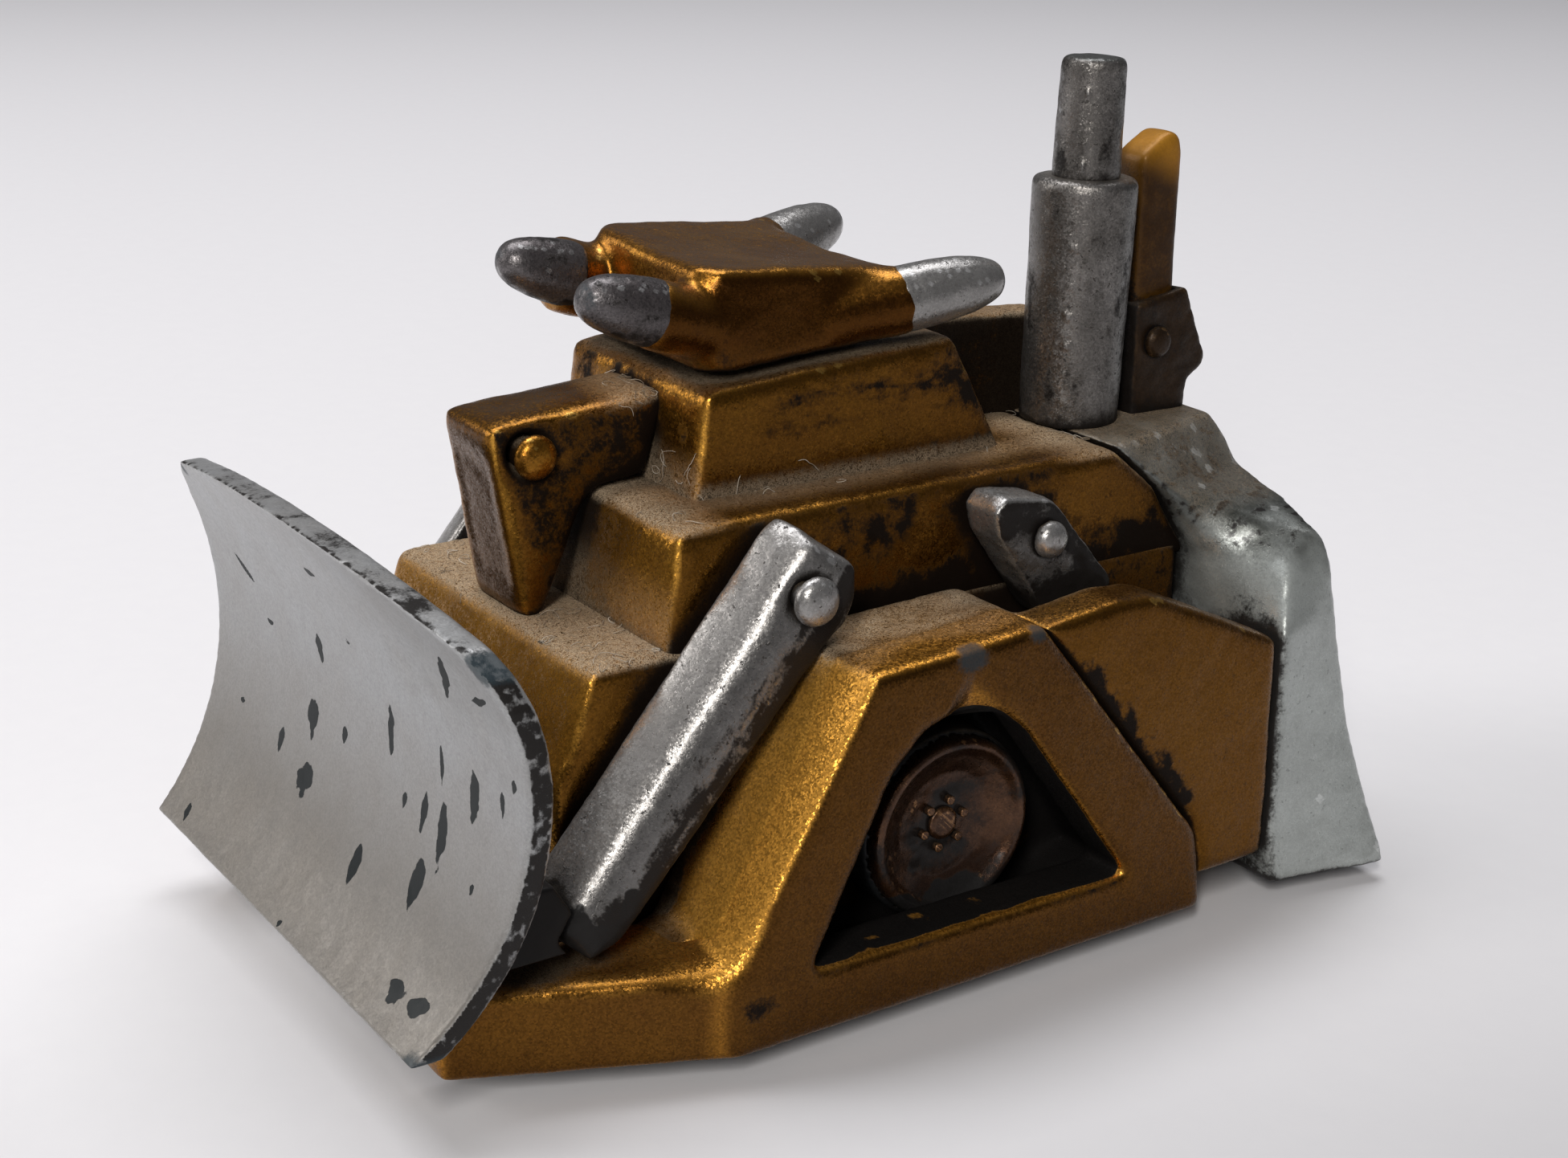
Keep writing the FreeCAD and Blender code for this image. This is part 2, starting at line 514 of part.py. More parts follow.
cell("post_pin_z", 23.4)
cell("post_pin_rad", 0.44)
prof = [(1.3, 0), (1.3, 0.44), (4.62, 0.44), (4.62, 0.75), (4.85, 0.72), (5.05, 0.5), (5.12, 0)]
pts = [V(x, 0, r) for x, r in prof]
f.Shape = Part.Face(Part.makePolygon(pts + [pts[0]])).revolve(V(0, 0, 0), V(1, 0, 0), 360)
f.Placement = Placement(V(0, VALUES["post_pin_y"], VALUES["post_pin_z"]), Rotation())
f.Label = "post_pin"
NODES.append(f)

# flared rear skirt, built level by level: z, inner front corner, outer front corner, rear corner, rear centre
SKIRT = [
    (0.75, (11.0, 17.35), (15.2, 17.35), (16.5, 23.6), 23.95),
    (3.4, (11.0, 17.35), (14.9, 17.35), (15.6, 23.1), 23.5),
    (7.3, (11.0, 17.35), (14.85, 17.35), (14.6, 22.3), 22.9),
    (10.9, (11.0, 17.35), (14.85, 17.35), (14.1, 21.8), 22.5),
    (12.6, (10.5, 17.3), (14.8, 17.4), (13.9, 21.5), 22.3),
    (14.8, (9.6, 17.05), (13.4, 18.8), (13.6, 21.3), 22.4),
    (16.1, (9.1, 16.4), (12.5, 20.2), (13.2, 21.1), 22.5),
    (17.0, (8.8, 15.9), (9.9, 18.3), (10.1, 21.65), 22.3),
    (17.8, (8.6, 15.45), (8.9, 16.2), (6.7, 21.8), 22.0),
    (18.9, (8.4, 14.3), (8.2, 15.3), (6.3, 21.45), 21.6),
    (20.13, (8.2, 12.85), (7.6, 14.5), (6.0, 20.6), 20.7),
]
skirt = body_of("rear_skirt")
sks = []
for i, (z, a, b, c, ry) in enumerate(SKIRT):
    sk = new_sketch(skirt, "skirt_level_%d" % i, "XY_Plane", cell("skirt_%s_height" % "abcdefghijk"[i], z))
    ptsl = [(-a[0], a[1]), (a[0], a[1]), b, c, (0.0, ry), (-c[0], c[1]), (-b[0], b[1])]
    add_poly(sk, "skirt_%s" % "abcdefghijk"[i], ptsl)
    sks.append(sk)
doc.recompute()
loft = skirt.newObject("PartDesign::AdditiveLoft", "skirt_loft")
loft.Profile = sks[0]
loft.Sections = sks[1:]
loft.Ruled = True
skirt.Tip = loft
sk = new_sketch(skirt, "skirt_cavity", "XY_Plane", cell("skirt_floor", 0.5))
add_poly(sk, "skirt_cavity", [(-12.8, 18.6), (12.8, 18.6), (12.4, 20.9), (-12.4, 20.9)])
pocket(skirt, sk, "skirt_cavity_cut", cell("skirt_cavity_deep", 13.0), reverse=True)
NODES.append(skirt)

# ---------------------------------------------------------------- wheels, axles, screws
for nm, y in (("front", DRIVE["axle_front_y"]), ("rear", DRIVE["axle_rear_y"])):
    ax = doc.addObject("Part::Cylinder", "axle_" + nm)
    ax.setExpression("Radius", "dims.axle_rad")
    ax.setExpression("Height", cell("axle_long", 14.5))
    ax.Placement = Placement(V(-7.25, y, DRIVE["axle_height"]), Rotation(V(0, 1, 0), 90))
    ax.setExpression("Placement.Base.y", "dims.axle_%s_y" % nm)
    ax.setExpression("Placement.Base.z", "dims.axle_height")
    ax.Label = "axle_" + nm
    NODES.append(ax)
    for side, s in SIDES:
        w = body_of("wheel_%s_%s" % (nm, side))
        a, b = mirror_range(s, 5.5, 7.2)
        sk = new_sketch(w, "wheel_plan_%s_%s" % (nm, side), "YZ_Plane", cell("wheel_start_" + side, a))
        add_circle(sk, "wheel_%s" % nm, y, DRIVE["axle_height"], 1.9, "axle_%s_y" % nm, "axle_height", "wheel_rad")
        add_circle(sk, "wheelbore_%s" % nm, y, DRIVE["axle_height"], 0.52, "axle_%s_y" % nm, "axle_height", "wheel_bore")
        p = pad(w, sk, "wheel_pad_%s_%s" % (nm, side), "dims.wheel_width")
        fillet(w, "wheel_edge_%s_%s" % (nm, side), lambda e: len(e.Vertexes) == 1 and e.Curve.Radius > 1.0, cell("wheel_edge", 0.2), p)
        NODES.append(w)
screws = []
cell("screw_head_rad", 1.1)
cell("screw_shank_rad", 0.55)
for y in (-2.5, 4.5):
    head = Part.makeCylinder(VALUES["screw_head_rad"], 0.45, V(0, y, 1.84))
    slot = Part.makeBox(0.3, 1.6, 0.2, V(-0.15, y - 0.8, 1.84))
    shank = Part.makeCylinder(VALUES["screw_shank_rad"], 5.6, V(0, y, 2.29))
    screws.append(head.cut(slot).fuse(shank).removeSplitter())
f = doc.addObject("Part::Feature", "chassis_screws")
f.Shape = Part.makeCompound(screws)
f.Label = "chassis_screws"
NODES.append(f)

# ---------------------------------------------------------------- check and write
doc.recompute()
bad = [(o.Name, o.State) for o in doc.Objects if "Invalid" in o.State or "Error" in o.State]
for o in NODES:
    if o.Shape.isNull() or not o.Shape.isValid() or not o.Shape.Solids:
        bad.append((o.Label, "shape"))
if bad:
    raise RuntimeError("failed objects: %r" % bad)
os.makedirs("parts", exist_ok=True)
labels = [o.Label for o in NODES]
if len(set(labels)) != len(labels):
    raise RuntimeError("label used twice")
box = None
for o in NODES:
    o.Shape.exportStep("parts/%s.step" % o.Label)
    box = o.Shape.BoundBox if box is None else box.united(o.Shape.BoundBox)
print("nodes", len(NODES), "size", [round(v, 2) for v in (box.XLength, box.YLength, box.ZLength)],
      "low", [round(v, 2) for v in (box.XMin, box.YMin, box.ZMin)], "high", [round(v, 2) for v in (box.XMax, box.YMax, box.ZMax)])
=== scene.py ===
import bpy
import bmesh
import json
import math
import numpy as np
from mathutils import Matrix, Vector
from mathutils.bvhtree import BVHTree


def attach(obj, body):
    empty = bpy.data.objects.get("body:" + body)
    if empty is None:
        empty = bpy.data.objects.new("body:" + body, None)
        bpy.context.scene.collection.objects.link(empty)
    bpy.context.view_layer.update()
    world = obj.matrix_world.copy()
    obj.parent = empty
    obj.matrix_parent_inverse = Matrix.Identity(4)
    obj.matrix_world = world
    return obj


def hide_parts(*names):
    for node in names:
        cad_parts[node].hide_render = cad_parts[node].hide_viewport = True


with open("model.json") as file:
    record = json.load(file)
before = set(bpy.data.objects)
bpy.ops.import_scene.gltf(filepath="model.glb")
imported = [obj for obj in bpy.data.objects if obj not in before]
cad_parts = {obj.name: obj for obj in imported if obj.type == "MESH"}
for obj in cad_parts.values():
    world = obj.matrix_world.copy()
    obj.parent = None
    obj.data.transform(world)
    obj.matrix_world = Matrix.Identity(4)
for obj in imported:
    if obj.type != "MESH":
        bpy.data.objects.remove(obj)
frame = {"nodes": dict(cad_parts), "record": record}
NODES = frame["nodes"]
BODY = {n: b for b, names in frame["record"]["behaviour"]["bodies"].items() for n in names}
SLOT = {s["node"]: s["material_slot"] for s in frame["record"]["subparts"]}
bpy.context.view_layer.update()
MM = 0.001
scene = bpy.context.scene


# ------------------------------------------------------------------ camera
def make_camera():
    az, el, roll = (math.radians(a) for a in (55.9, 19.3, 0.84))
    back = Vector((math.sin(az) * math.cos(el), -math.cos(az) * math.cos(el), math.sin(el)))
    right = Vector((0, 0, 1)).cross(back).normalized()
    up = back.cross(right)
    r2 = math.cos(roll) * right + math.sin(roll) * up
    u2 = -math.sin(roll) * right + math.cos(roll) * up
    at = Vector((81.18, -53.83, 48.07)) * MM
    cam = bpy.data.cameras.new("camera")
    cam.sensor_width = 36.0
    cam.lens = 53.705
    cam.clip_start = 0.002
    cam.clip_end = 20.0
    ob = bpy.data.objects.new("camera", cam)
    scene.collection.objects.link(ob)
    ob.matrix_world = Matrix(((r2.x, u2.x, back.x, at.x), (r2.y, u2.y, back.y, at.y),
                              (r2.z, u2.z, back.z, at.z), (0, 0, 0, 1)))
    scene.camera = ob


make_camera()


# ------------------------------------------------------------------ small numpy helpers
def vnoise(p, seed=0):
    """Smooth value noise in -1..1 at the points p (n, 3), lattice pitch 1."""
    i = np.floor(p).astype(np.int64)
    f = p - i
    f = f * f * f * (f * (f * 6 - 15) + 10)
    out = np.zeros(len(p))
    for dx in (0, 1):
        for dy in (0, 1):
            for dz in (0, 1):
                k = ((i[:, 0] + dx) * 73856093) ^ ((i[:, 1] + dy) * 19349663) ^ ((i[:, 2] + dz) * 83492791) ^ (seed * 2654435761)
                k = (k ^ (k >> 13)) * 1274126177 & 0x7FFFFFFF
                v = ((k ^ (k >> 16)) & 0xFFFFF) / 524287.5 - 1.0
                w = (f[:, 0] if dx else 1 - f[:, 0]) * (f[:, 1] if dy else 1 - f[:, 1]) * (f[:, 2] if dz else 1 - f[:, 2])
                out += w * v
    return out


def fbm(p, seed=0, octaves=3):
    out, a = np.zeros(len(p)), 1.0
    for k in range(octaves):
        out += a * vnoise(p * 2 ** k + 17.3 * k, seed + k)
        a *= 0.5
    return out


def smoothstep(a, b, x):
    t = np.clip((x - a) / (b - a), 0, 1)
    return t * t * (3 - 2 * t)


def get_co(me):
    co = np.zeros(len(me.vertices) * 3)
    me.vertices.foreach_get("co", co)
    return co.reshape(-1, 3)


def set_co(me, co):
    me.vertices.foreach_set("co", np.ascontiguousarray(co, dtype=np.float32).ravel())
    me.update()


def get_normals(me):
    no = np.zeros(len(me.vertices) * 3)
    me.vertex_normals.foreach_get("vector", no)
    return no.reshape(-1, 3)


def get_edges(me):
    e = np.zeros(len(me.edges) * 2, dtype=np.int64)
    me.edges.foreach_get("vertices", e)
    return e.reshape(-1, 2)


def laplace(me, co, n, lam=0.5, weight=None):
    e = get_edges(me)
    cnt = len(co)
    deg = np.maximum(np.bincount(e[:, 0], minlength=cnt) + np.bincount(e[:, 1], minlength=cnt), 1)[:, None]
    w = lam if weight is None else lam * weight[:, None]
    for _ in range(n):
        s = np.empty_like(co)
        for k in range(co.shape[1]):
            s[:, k] = np.bincount(e[:, 0], co[e[:, 1], k], cnt) + np.bincount(e[:, 1], co[e[:, 0], k], cnt)
        co = co + w * (s / deg - co)
    return co


def put_attr(me, name, values):
    a = me.attributes.new(name, "FLOAT", "POINT")
    a.data.foreach_set("value", np.ascontiguousarray(values, dtype=np.float32))


# ------------------------------------------------------------------ meshes, all in millimetres until they are placed
def cad_mesh(*names):
    """The welded mesh of some CAD nodes, in millimetres."""
    bm = bmesh.new()
    for n in names:
        bm.from_mesh(NODES[n].data)
    bmesh.ops.scale(bm, vec=(1000.0,) * 3, verts=bm.verts)
    bmesh.ops.remove_doubles(bm, verts=bm.verts, dist=0.002)
    me = bpy.data.meshes.new("tmp")
    bm.to_mesh(me)
    bm.free()
    return me


def voxel(me, size):
    ob = bpy.data.objects.new("tmp", me)
    scene.collection.objects.link(ob)
    m = ob.modifiers.new("r", "REMESH")
    m.mode = "VOXEL"
    m.voxel_size = size
    m.adaptivity = 0.0
    dg = bpy.context.evaluated_depsgraph_get()
    out = bpy.data.meshes.new_from_object(ob.evaluated_get(dg))
    bpy.data.objects.remove(ob)
    return out


PIECES = {}
LINT = {"hull_lower": (70, 1), "hull_upper": (64, 2), "superstructure": (44, 3), "nose_block": (16, 4)}
THREADS = {}


def fibres(node, me, dust, count, seed):
    """Fine curled fibres that lie on the dusty ledges of a piece, each a thin closed tube."""
    co, no = get_co(me), get_normals(me)
    rng = np.random.default_rng(seed)
    w = np.clip(dust, 0, 1.2) ** 2 * (co[:, 0] > -9.0)
    picks = rng.choice(len(co), count, p=w / w.sum())
    tree = BVHTree.FromPolygons([tuple(c) for c in co], [tuple(p.vertices) for p in me.polygons])
    bm = bmesh.new()
    for i in picks:
        pos, n = Vector(co[i]), Vector(no[i]).normalized()
        ang, curl, length = rng.uniform(0, 6.283), rng.normal(0, 0.32), rng.uniform(0.5, 1.7)
        steps = 14
        high, rad = rng.uniform(0.03, 0.16), rng.uniform(0.012, 0.020)
        rings = []
        for k in range(steps + 1):
            hit = tree.find_nearest(pos)
            if hit[0] is not None:
                pos, n = hit[0], hit[1]
            t = n.orthogonal().normalized()
            b = n.cross(t)
            step = t * math.cos(ang) + b * math.sin(ang)
            side = n.cross(step)
            c = pos + n * (0.02 + high * math.sin(math.pi * k / steps) ** 2)
            r = rad * (0.4 if k in (0, steps) else 1.0)
            rings.append([bm.verts.new(c + r * (math.cos(a) * side + math.sin(a) * n)) for a in (0.0, 2.094, 4.189)])
            ang += curl + rng.normal(0, 0.22)
            pos = pos + step * (length / steps)
        bm.faces.new(rings[0][::-1])
        bm.faces.new(rings[-1])
        for p, q in zip(rings, rings[1:]):
            for k in range(3):
                bm.faces.new((p[k], p[(k + 1) % 3], q[(k + 1) % 3], q[k]))
    bmesh.ops.recalc_face_normals(bm, faces=bm.faces)
    out = bpy.data.meshes.new("tmp")
    bm.to_mesh(out)
    bm.free()
    THREADS[node] = out


def place(me, name, node, mat, body=None, replaces=None):
    """Turns a mesh in millimetres into a piece in metres that stands for its CAD node."""
    set_co(me, get_co(me) * MM)
    me.name = name
    me.materials.clear()
    for m in mat if isinstance(mat, (list, tuple)) else [mat]:
        me.materials.append(m)
    me.polygons.foreach_set("use_smooth", np.ones(len(me.polygons), dtype=bool))
    me.update()
    ob = bpy.data.objects.new(name, me)
    scene.collection.objects.link(ob)
    for c in [replaces] if isinstance(replaces, str) else (replaces or [node]):
        if c:
            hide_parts(c)
    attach(ob, body or BODY[node])
    PIECES[name] = ob
    return ob


def cast(node, mat, size=0.14, rounds=14, lump=0.02, fine=0.006, shape=None, seed=1, pre=None, build=None, sink=0.0):
    """A softly rounded casting of a CAD node: remeshed finely, its edges eased, its faces faintly uneven."""
    src = build() if build else cad_mesh(node)
    if pre:
        set_co(src, pre(get_co(src), node))
    if sink:
        c = get_co(src)
        c[:, 2] -= np.where(c[:, 2] < c[:, 2].min() + 0.12, sink, 0.0)
        set_co(src, c)
    me = voxel(src, size)
    co = laplace(me, get_co(me), rounds)
    if shape:
        co = shape(co, me)
    set_co(me, co)
    no = get_normals(me)
    if lump or fine:
        d = lump * fbm(co * 0.55 + seed, seed, 3) + fine * fbm(co * 2.3 + seed, seed + 9, 2)
        set_co(me, co + no * d[:, None])
    field = marks(node, get_co(me), get_normals(me))
    for k, v in field.items():
        put_attr(me, k, v)
    if node in LINT:
        fibres(node, me, field["dust"], *LINT[node])
    return place(me, node + "_cast", node, mat)


# ------------------------------------------------------------------ node tools
class Tree:
    def __init__(self, name):
        self.mat = bpy.data.materials.new(name)
        self.mat.use_nodes = True
        self.t = self.mat.node_tree
        self.t.nodes.clear()
        self.out = self.t.nodes.new("ShaderNodeOutputMaterial")
        self.bsdf = self.t.nodes.new("ShaderNodeBsdfPrincipled")
        self.t.links.new(self.bsdf.outputs[0], self.out.inputs[0])
        tc = self.t.nodes.new("ShaderNodeTexCoord")
        m = self.t.nodes.new("ShaderNodeMapping")
        m.inputs["Scale"].default_value = (1000.0, 1000.0, 1000.0)
        self.t.links.new(tc.outputs["Object"], m.inputs[0])
        self.mm = m.outputs[0]
        g = self.t.nodes.new("ShaderNodeNewGeometry")
        self.normal = g.outputs["Normal"]
        self.point = g.outputs["Pointiness"]

    def link(self, a, sock):
        if hasattr(a, "links") or hasattr(a, "is_output"):
            self.t.links.new(a, sock)
        else:
            sock.default_value = a

    def math(self, op, a, b=None, c=None, clamp=False):
        n = self.t.nodes.new("ShaderNodeMath")
        n.operation = op
        n.use_clamp = clamp
        for k, v in enumerate((a, b, c)):
            if v is not None:
                self.link(v, n.inputs[k])
        return n.outputs[0]

    def vmath(self, op, a, b=None, scale=None):
        n = self.t.nodes.new("ShaderNodeVectorMath")
        n.operation = op
        self.link(a, n.inputs[0])
        if b is not None:
            self.link(b, n.inputs[1])
        if scale is not None:
            self.link(scale, n.inputs["Scale"])
        return n.outputs[1] if op in ("DOT_PRODUCT", "LENGTH", "DISTANCE") else n.outputs[0]

    def scaled(self, s, rot=(0, 0, 0), loc=(0, 0, 0)):
        m = self.t.nodes.new("ShaderNodeMapping")
        m.inputs["Scale"].default_value = s if isinstance(s, tuple) else (s, s, s)
        m.inputs["Rotation"].default_value = rot
        m.inputs["Location"].default_value = loc
        self.t.links.new(self.mm, m.inputs[0])
        return m.outputs[0]

    def noise(self, scale, detail=3.0, rough=0.55, vec=None, dist=0.0, color=False):
        n = self.t.nodes.new("ShaderNodeTexNoise")
        n.inputs["Scale"].default_value = scale
        n.inputs["Detail"].default_value = detail
        n.inputs["Roughness"].default_value = rough
        n.inputs["Distortion"].default_value = dist
        self.t.links.new(vec or self.mm, n.inputs["Vector"])
        return n.outputs["Color" if color else 0]

    def cells(self, scale, vec=None, out="Color", feature="F1", rand=1.0):
        n = self.t.nodes.new("ShaderNodeTexVoronoi")
        n.feature = feature
        n.inputs["Scale"].default_value = scale
        n.inputs["Randomness"].default_value = rand
        self.t.links.new(vec or self.mm, n.inputs["Vector"])
        return n.outputs[out]

    def ramp(self, x, a, b, lo=0.0, hi=1.0, smooth=True):
        n = self.t.nodes.new("ShaderNodeMapRange")
        n.interpolation_type = "SMOOTHSTEP" if smooth else "LINEAR"
        self.link(x, n.inputs[0])
        for k, v in enumerate((a, b, lo, hi)):
            n.inputs[k + 1].default_value = v
        return n.outputs[0]

    def mix(self, f, a, b):
        n = self.t.nodes.new("ShaderNodeMix")
        n.data_type = "RGBA"
        self.link(f, n.inputs[0])
        for v, k in ((a, 6), (b, 7)):
            if isinstance(v, (tuple, list)):
                n.inputs[k].default_value = (*v[:3], 1.0)
            else:
                self.t.links.new(v, n.inputs[k])
        return n.outputs[2]

    def mixf(self, f, a, b):
        n = self.t.nodes.new("ShaderNodeMix")
        n.data_type = "FLOAT"
        self.link(f, n.inputs[0])
        self.link(a, n.inputs[2])
        self.link(b, n.inputs[3])
        return n.outputs[0]

    def attr(self, name):
        n = self.t.nodes.new("ShaderNodeAttribute")
        n.attribute_name = name
        return n.outputs["Fac"]

    def ao(self, dist, samples=8, inside=False):
        n = self.t.nodes.new("ShaderNodeAmbientOcclusion")
        n.samples = samples
        n.inside = inside
        n.inputs["Distance"].default_value = dist
        return n.outputs["AO"]

    def up(self):
        s = self.t.nodes.new("ShaderNodeSeparateXYZ")
        self.t.links.new(self.normal, s.inputs[0])
        return s.outputs[2]

    def bump(self, h, dist, strength=1.0, normal=None):
        n = self.t.nodes.new("ShaderNodeBump")
        n.inputs["Distance"].default_value = dist
        n.inputs["Strength"].default_value = strength
        self.link(h, n.inputs["Height"])
        if normal is not None:
            self.t.links.new(normal, n.inputs["Normal"])
        return n.outputs[0]

    def set(self, **kw):
        names = {"color": "Base Color", "metal": "Metallic", "rough": "Roughness", "normal": "Normal",
                 "coat": "Coat Weight", "coat_rough": "Coat Roughness", "coat_ior": "Coat IOR", "ior": "IOR",
                 "sheen": "Sheen Weight", "sheen_rough": "Sheen Roughness", "spec": "Specular IOR Level",
                 "coat_normal": "Coat Normal"}
        for k, v in kw.items():
            s = self.bsdf.inputs[names[k]]
            if isinstance(v, tuple):
                s.default_value = (*v[:3], 1.0)
            else:
                self.link(v, s)


def srgb(r, g, b):
    return tuple((c / 255 / 12.92) if c / 255 <= 0.04045 else ((c / 255 + 0.055) / 1.055) ** 2.4 for c in (r, g, b))


def paint(name, base, alt, edge, metal=0.85, rough=0.36, flake=0.2, flake_scale=13.0, glint=0.3, grime_and_shade=(0.006, 0.004, 0.003),
          dust=(0.66, 0.50, 0.33), crease_grime_and_shade_amt=1.0, dust_amt=1.0, edge_wear_and_highlight_amt=0.5, coat=0.3, coat_rough=0.2, speck=0.0, ao_dist=1.6,
          wash_and_shade=0.5, bare=(0.020, 0.034, 0.043), painted_shade=None, black_and_shade=(0.0085, 0.0075, 0.007), bumpy=1.0, var=0.5, off_rough=0.7,
          grain=0.0, pit=(0.03, 0.03, 0.032), spec=0.2, lit=None):
    """Metal-flake paint: wash and painted crease shade in the recesses, edges lightened by wear and painted highlight,
    painted shade and painted light on faces by how they turn, lint on the ledges, worn spots and chips.
    """
    t = Tree(name)
    big = t.noise(0.30, 3.0, 0.6)
    mid = t.noise(1.3, 4.0, 0.65)
    small = t.noise(6.5, 3.0, 0.7)
    tiny = t.noise(17.0, 2.0, 0.7)
    col = t.mix(t.ramp(big, 0.5 - 0.5 * var, 0.5 + 0.5 * var), base, alt)
    # painted shade: faces that turn from the light are mixed towards a darker colour
    if painted_shade is not None:
        col = t.mix(t.attr("painted_shade"), col, painted_shade)
    # painted light: faces turned to the light are mixed towards the brighter lit colour
    if lit is not None:
        col = t.mix(t.attr("painted_light"), col, lit)
    cell = t.cells(flake_scale)
    fl = t.vmath("SUBTRACT", cell, (0.5, 0.5, 0.5))
    # the flakes scatter wider where light is painted
    fa = t.math("MULTIPLY", t.math("ADD", 1.0, t.math("MULTIPLY", t.attr("painted_light"), 2.2)), flake)
    nrm = t.vmath("NORMALIZE", t.vmath("ADD", t.normal, t.vmath("SCALE", fl, scale=fa)))
    sep = t.t.nodes.new("ShaderNodeSeparateColor")
    t.t.links.new(cell, sep.inputs[0])
    # convex edges are lightened towards the edge colour: partly worn paint, partly painted highlight
    e = t.ramp(t.point, 0.515, 0.575)
    e = t.math("MULTIPLY", e, t.ramp(mid, 0.3, 0.62, 0.3, 1.0))
    col = t.mix(t.math("MULTIPLY", e, edge_wear_and_highlight_amt, clamp=True), col, edge)
    spark = t.ramp(sep.outputs[0], 0.0, 1.0, 1.0 - glint, 1.0 + glint, smooth=False)
    col = t.vmath("SCALE", col, scale=spark)
    # thin brown wash over everything, thick and black in the creases; the ambient-occlusion and concavity terms there
    # are painted crease shade as well as wash
    ao = t.ao(ao_dist * MM, 8)
    crease = t.ramp(ao, 0.25, 0.86, 1.0, 0.0)
    g = t.math("MULTIPLY", crease, crease_grime_and_shade_amt)
    g = t.math("ADD", g, t.attr("grime_and_shade"))
    g = t.math("ADD", g, t.math("MULTIPLY", t.math("SUBTRACT", mid, 0.5), 1.0))
    g = t.math("ADD", g, t.math("MULTIPLY", t.math("SUBTRACT", small, 0.5), 0.7))
    cav = t.ramp(t.point, 0.43, 0.495, 0.5, 0.0)
    g = t.math("ADD", g, t.math("MULTIPLY", cav, crease_grime_and_shade_amt))
    gm = t.ramp(g, 0.30, 0.74)
    soft = t.ramp(g, -0.15, 0.55, 0.0, wash_and_shade)
    col = t.mix(soft, col, tuple(0.5 * a + 0.5 * b for a, b in zip(grime_and_shade, alt)))
    if speck:
        sp = t.ramp(t.math("ADD", t.noise(3.6, 2.0, 0.6), t.math("MULTIPLY", t.attr("grime_and_shade"), 0.06)), 0.665, 0.70, 0.0, speck)
        gm = t.math("MAXIMUM", gm, sp)
    col = t.mix(t.math("MULTIPLY", gm, 0.98), col, grime_and_shade)
    if grain:
        gr = t.ramp(tiny, 0.56, 0.72, 0.0, grain)
        col = t.mix(gr, col, pit)
    # lint: curly threads over a grey-tan bloom
    up = t.ramp(t.up(), 0.35, 0.9)
    near = t.ramp(t.ao(3.6 * MM, 6), 0.45, 0.95, 1.0, 0.0)
    where = t.math("MULTIPLY", t.math("MULTIPLY", up, near), 0.28)
    where = t.math("MULTIPLY", t.math("ADD", where, t.attr("dust")), dust_amt, clamp=True)
    f1 = t.math("ABSOLUTE", t.math("SUBTRACT", t.noise(2.6, 2.0, 0.55, dist=1.6), 0.5))
    f2 = t.math("ABSOLUTE", t.math("SUBTRACT", t.noise(4.3, 2.0, 0.55, vec=t.scaled(1.0, loc=(7, 3, 9)), dist=2.4), 0.5))
    thread = t.math("MAXIMUM", t.ramp(f1, 0.004, 0.020, 1.0, 0.0), t.ramp(f2, 0.004, 0.024, 0.9, 0.0))
    bloom = t.ramp(t.math("ADD", t.math("MULTIPLY", small, 0.6), t.math("MULTIPLY", tiny, 0.4)), 0.34, 0.58, 0.0, 1.0)
    d = t.math("MULTIPLY", where, t.math("MAXIMUM", thread, bloom), clamp=True)
    dustcol = t.mix(t.ramp(tiny, 0.35, 0.65), tuple(0.5 * c for c in dust), tuple(1.3 * c for c in dust))
    dark = t.math("ABSOLUTE", t.math("SUBTRACT", t.noise(3.3, 2.0, 0.55, vec=t.scaled(1.0, loc=(2, 8, 5)), dist=2.0), 0.5))
    hair = t.math("MULTIPLY", t.ramp(dark, 0.004, 0.02, 1.0, 0.0), t.math("MULTIPLY", where, 1.4, clamp=True))
    col = t.mix(d, col, dustcol)
    clump = t.ramp(t.math("ADD", t.math("MULTIPLY", tiny, 0.55), t.math("MULTIPLY", small, 0.45)), 0.50, 0.60, 0.0, 0.62)
    col = t.mix(t.math("MULTIPLY", t.math("MAXIMUM", hair, t.math("MULTIPLY", clump, where)), 0.85), col, tuple(2.5 * c for c in grime_and_shade))
    w = t.ramp(t.math("ADD", t.attr("wear"), t.math("MULTIPLY", t.math("SUBTRACT", small, 0.5), 0.7)), 0.30, 0.85)
    col = t.mix(t.math("MULTIPLY", w, 0.8), col, bare)
    chip = t.ramp(t.math("ADD", t.attr("chip"), t.math("MULTIPLY", t.math("SUBTRACT", tiny, 0.5), 0.35)), 0.44, 0.56)
    col = t.mix(chip, col, (0.012, 0.015, 0.016))
    # black: the black plastic of the blade bracket and the arm ends, darkened further as painted shade, and painted
    # shade on the walls and back of the window openings; the idler disc also goes black towards its bottom
    bl = t.ramp(t.math("ADD", t.attr("black_and_shade"), t.math("MULTIPLY", t.math("SUBTRACT", small, 0.5), 0.3)), 0.35, 0.6)
    col = t.mix(bl, col, black_and_shade)
    off = t.math("MAXIMUM", t.math("MAXIMUM", t.math("MULTIPLY", gm, 0.9), d), t.math("MAXIMUM", t.math("MAXIMUM", w, chip), bl))
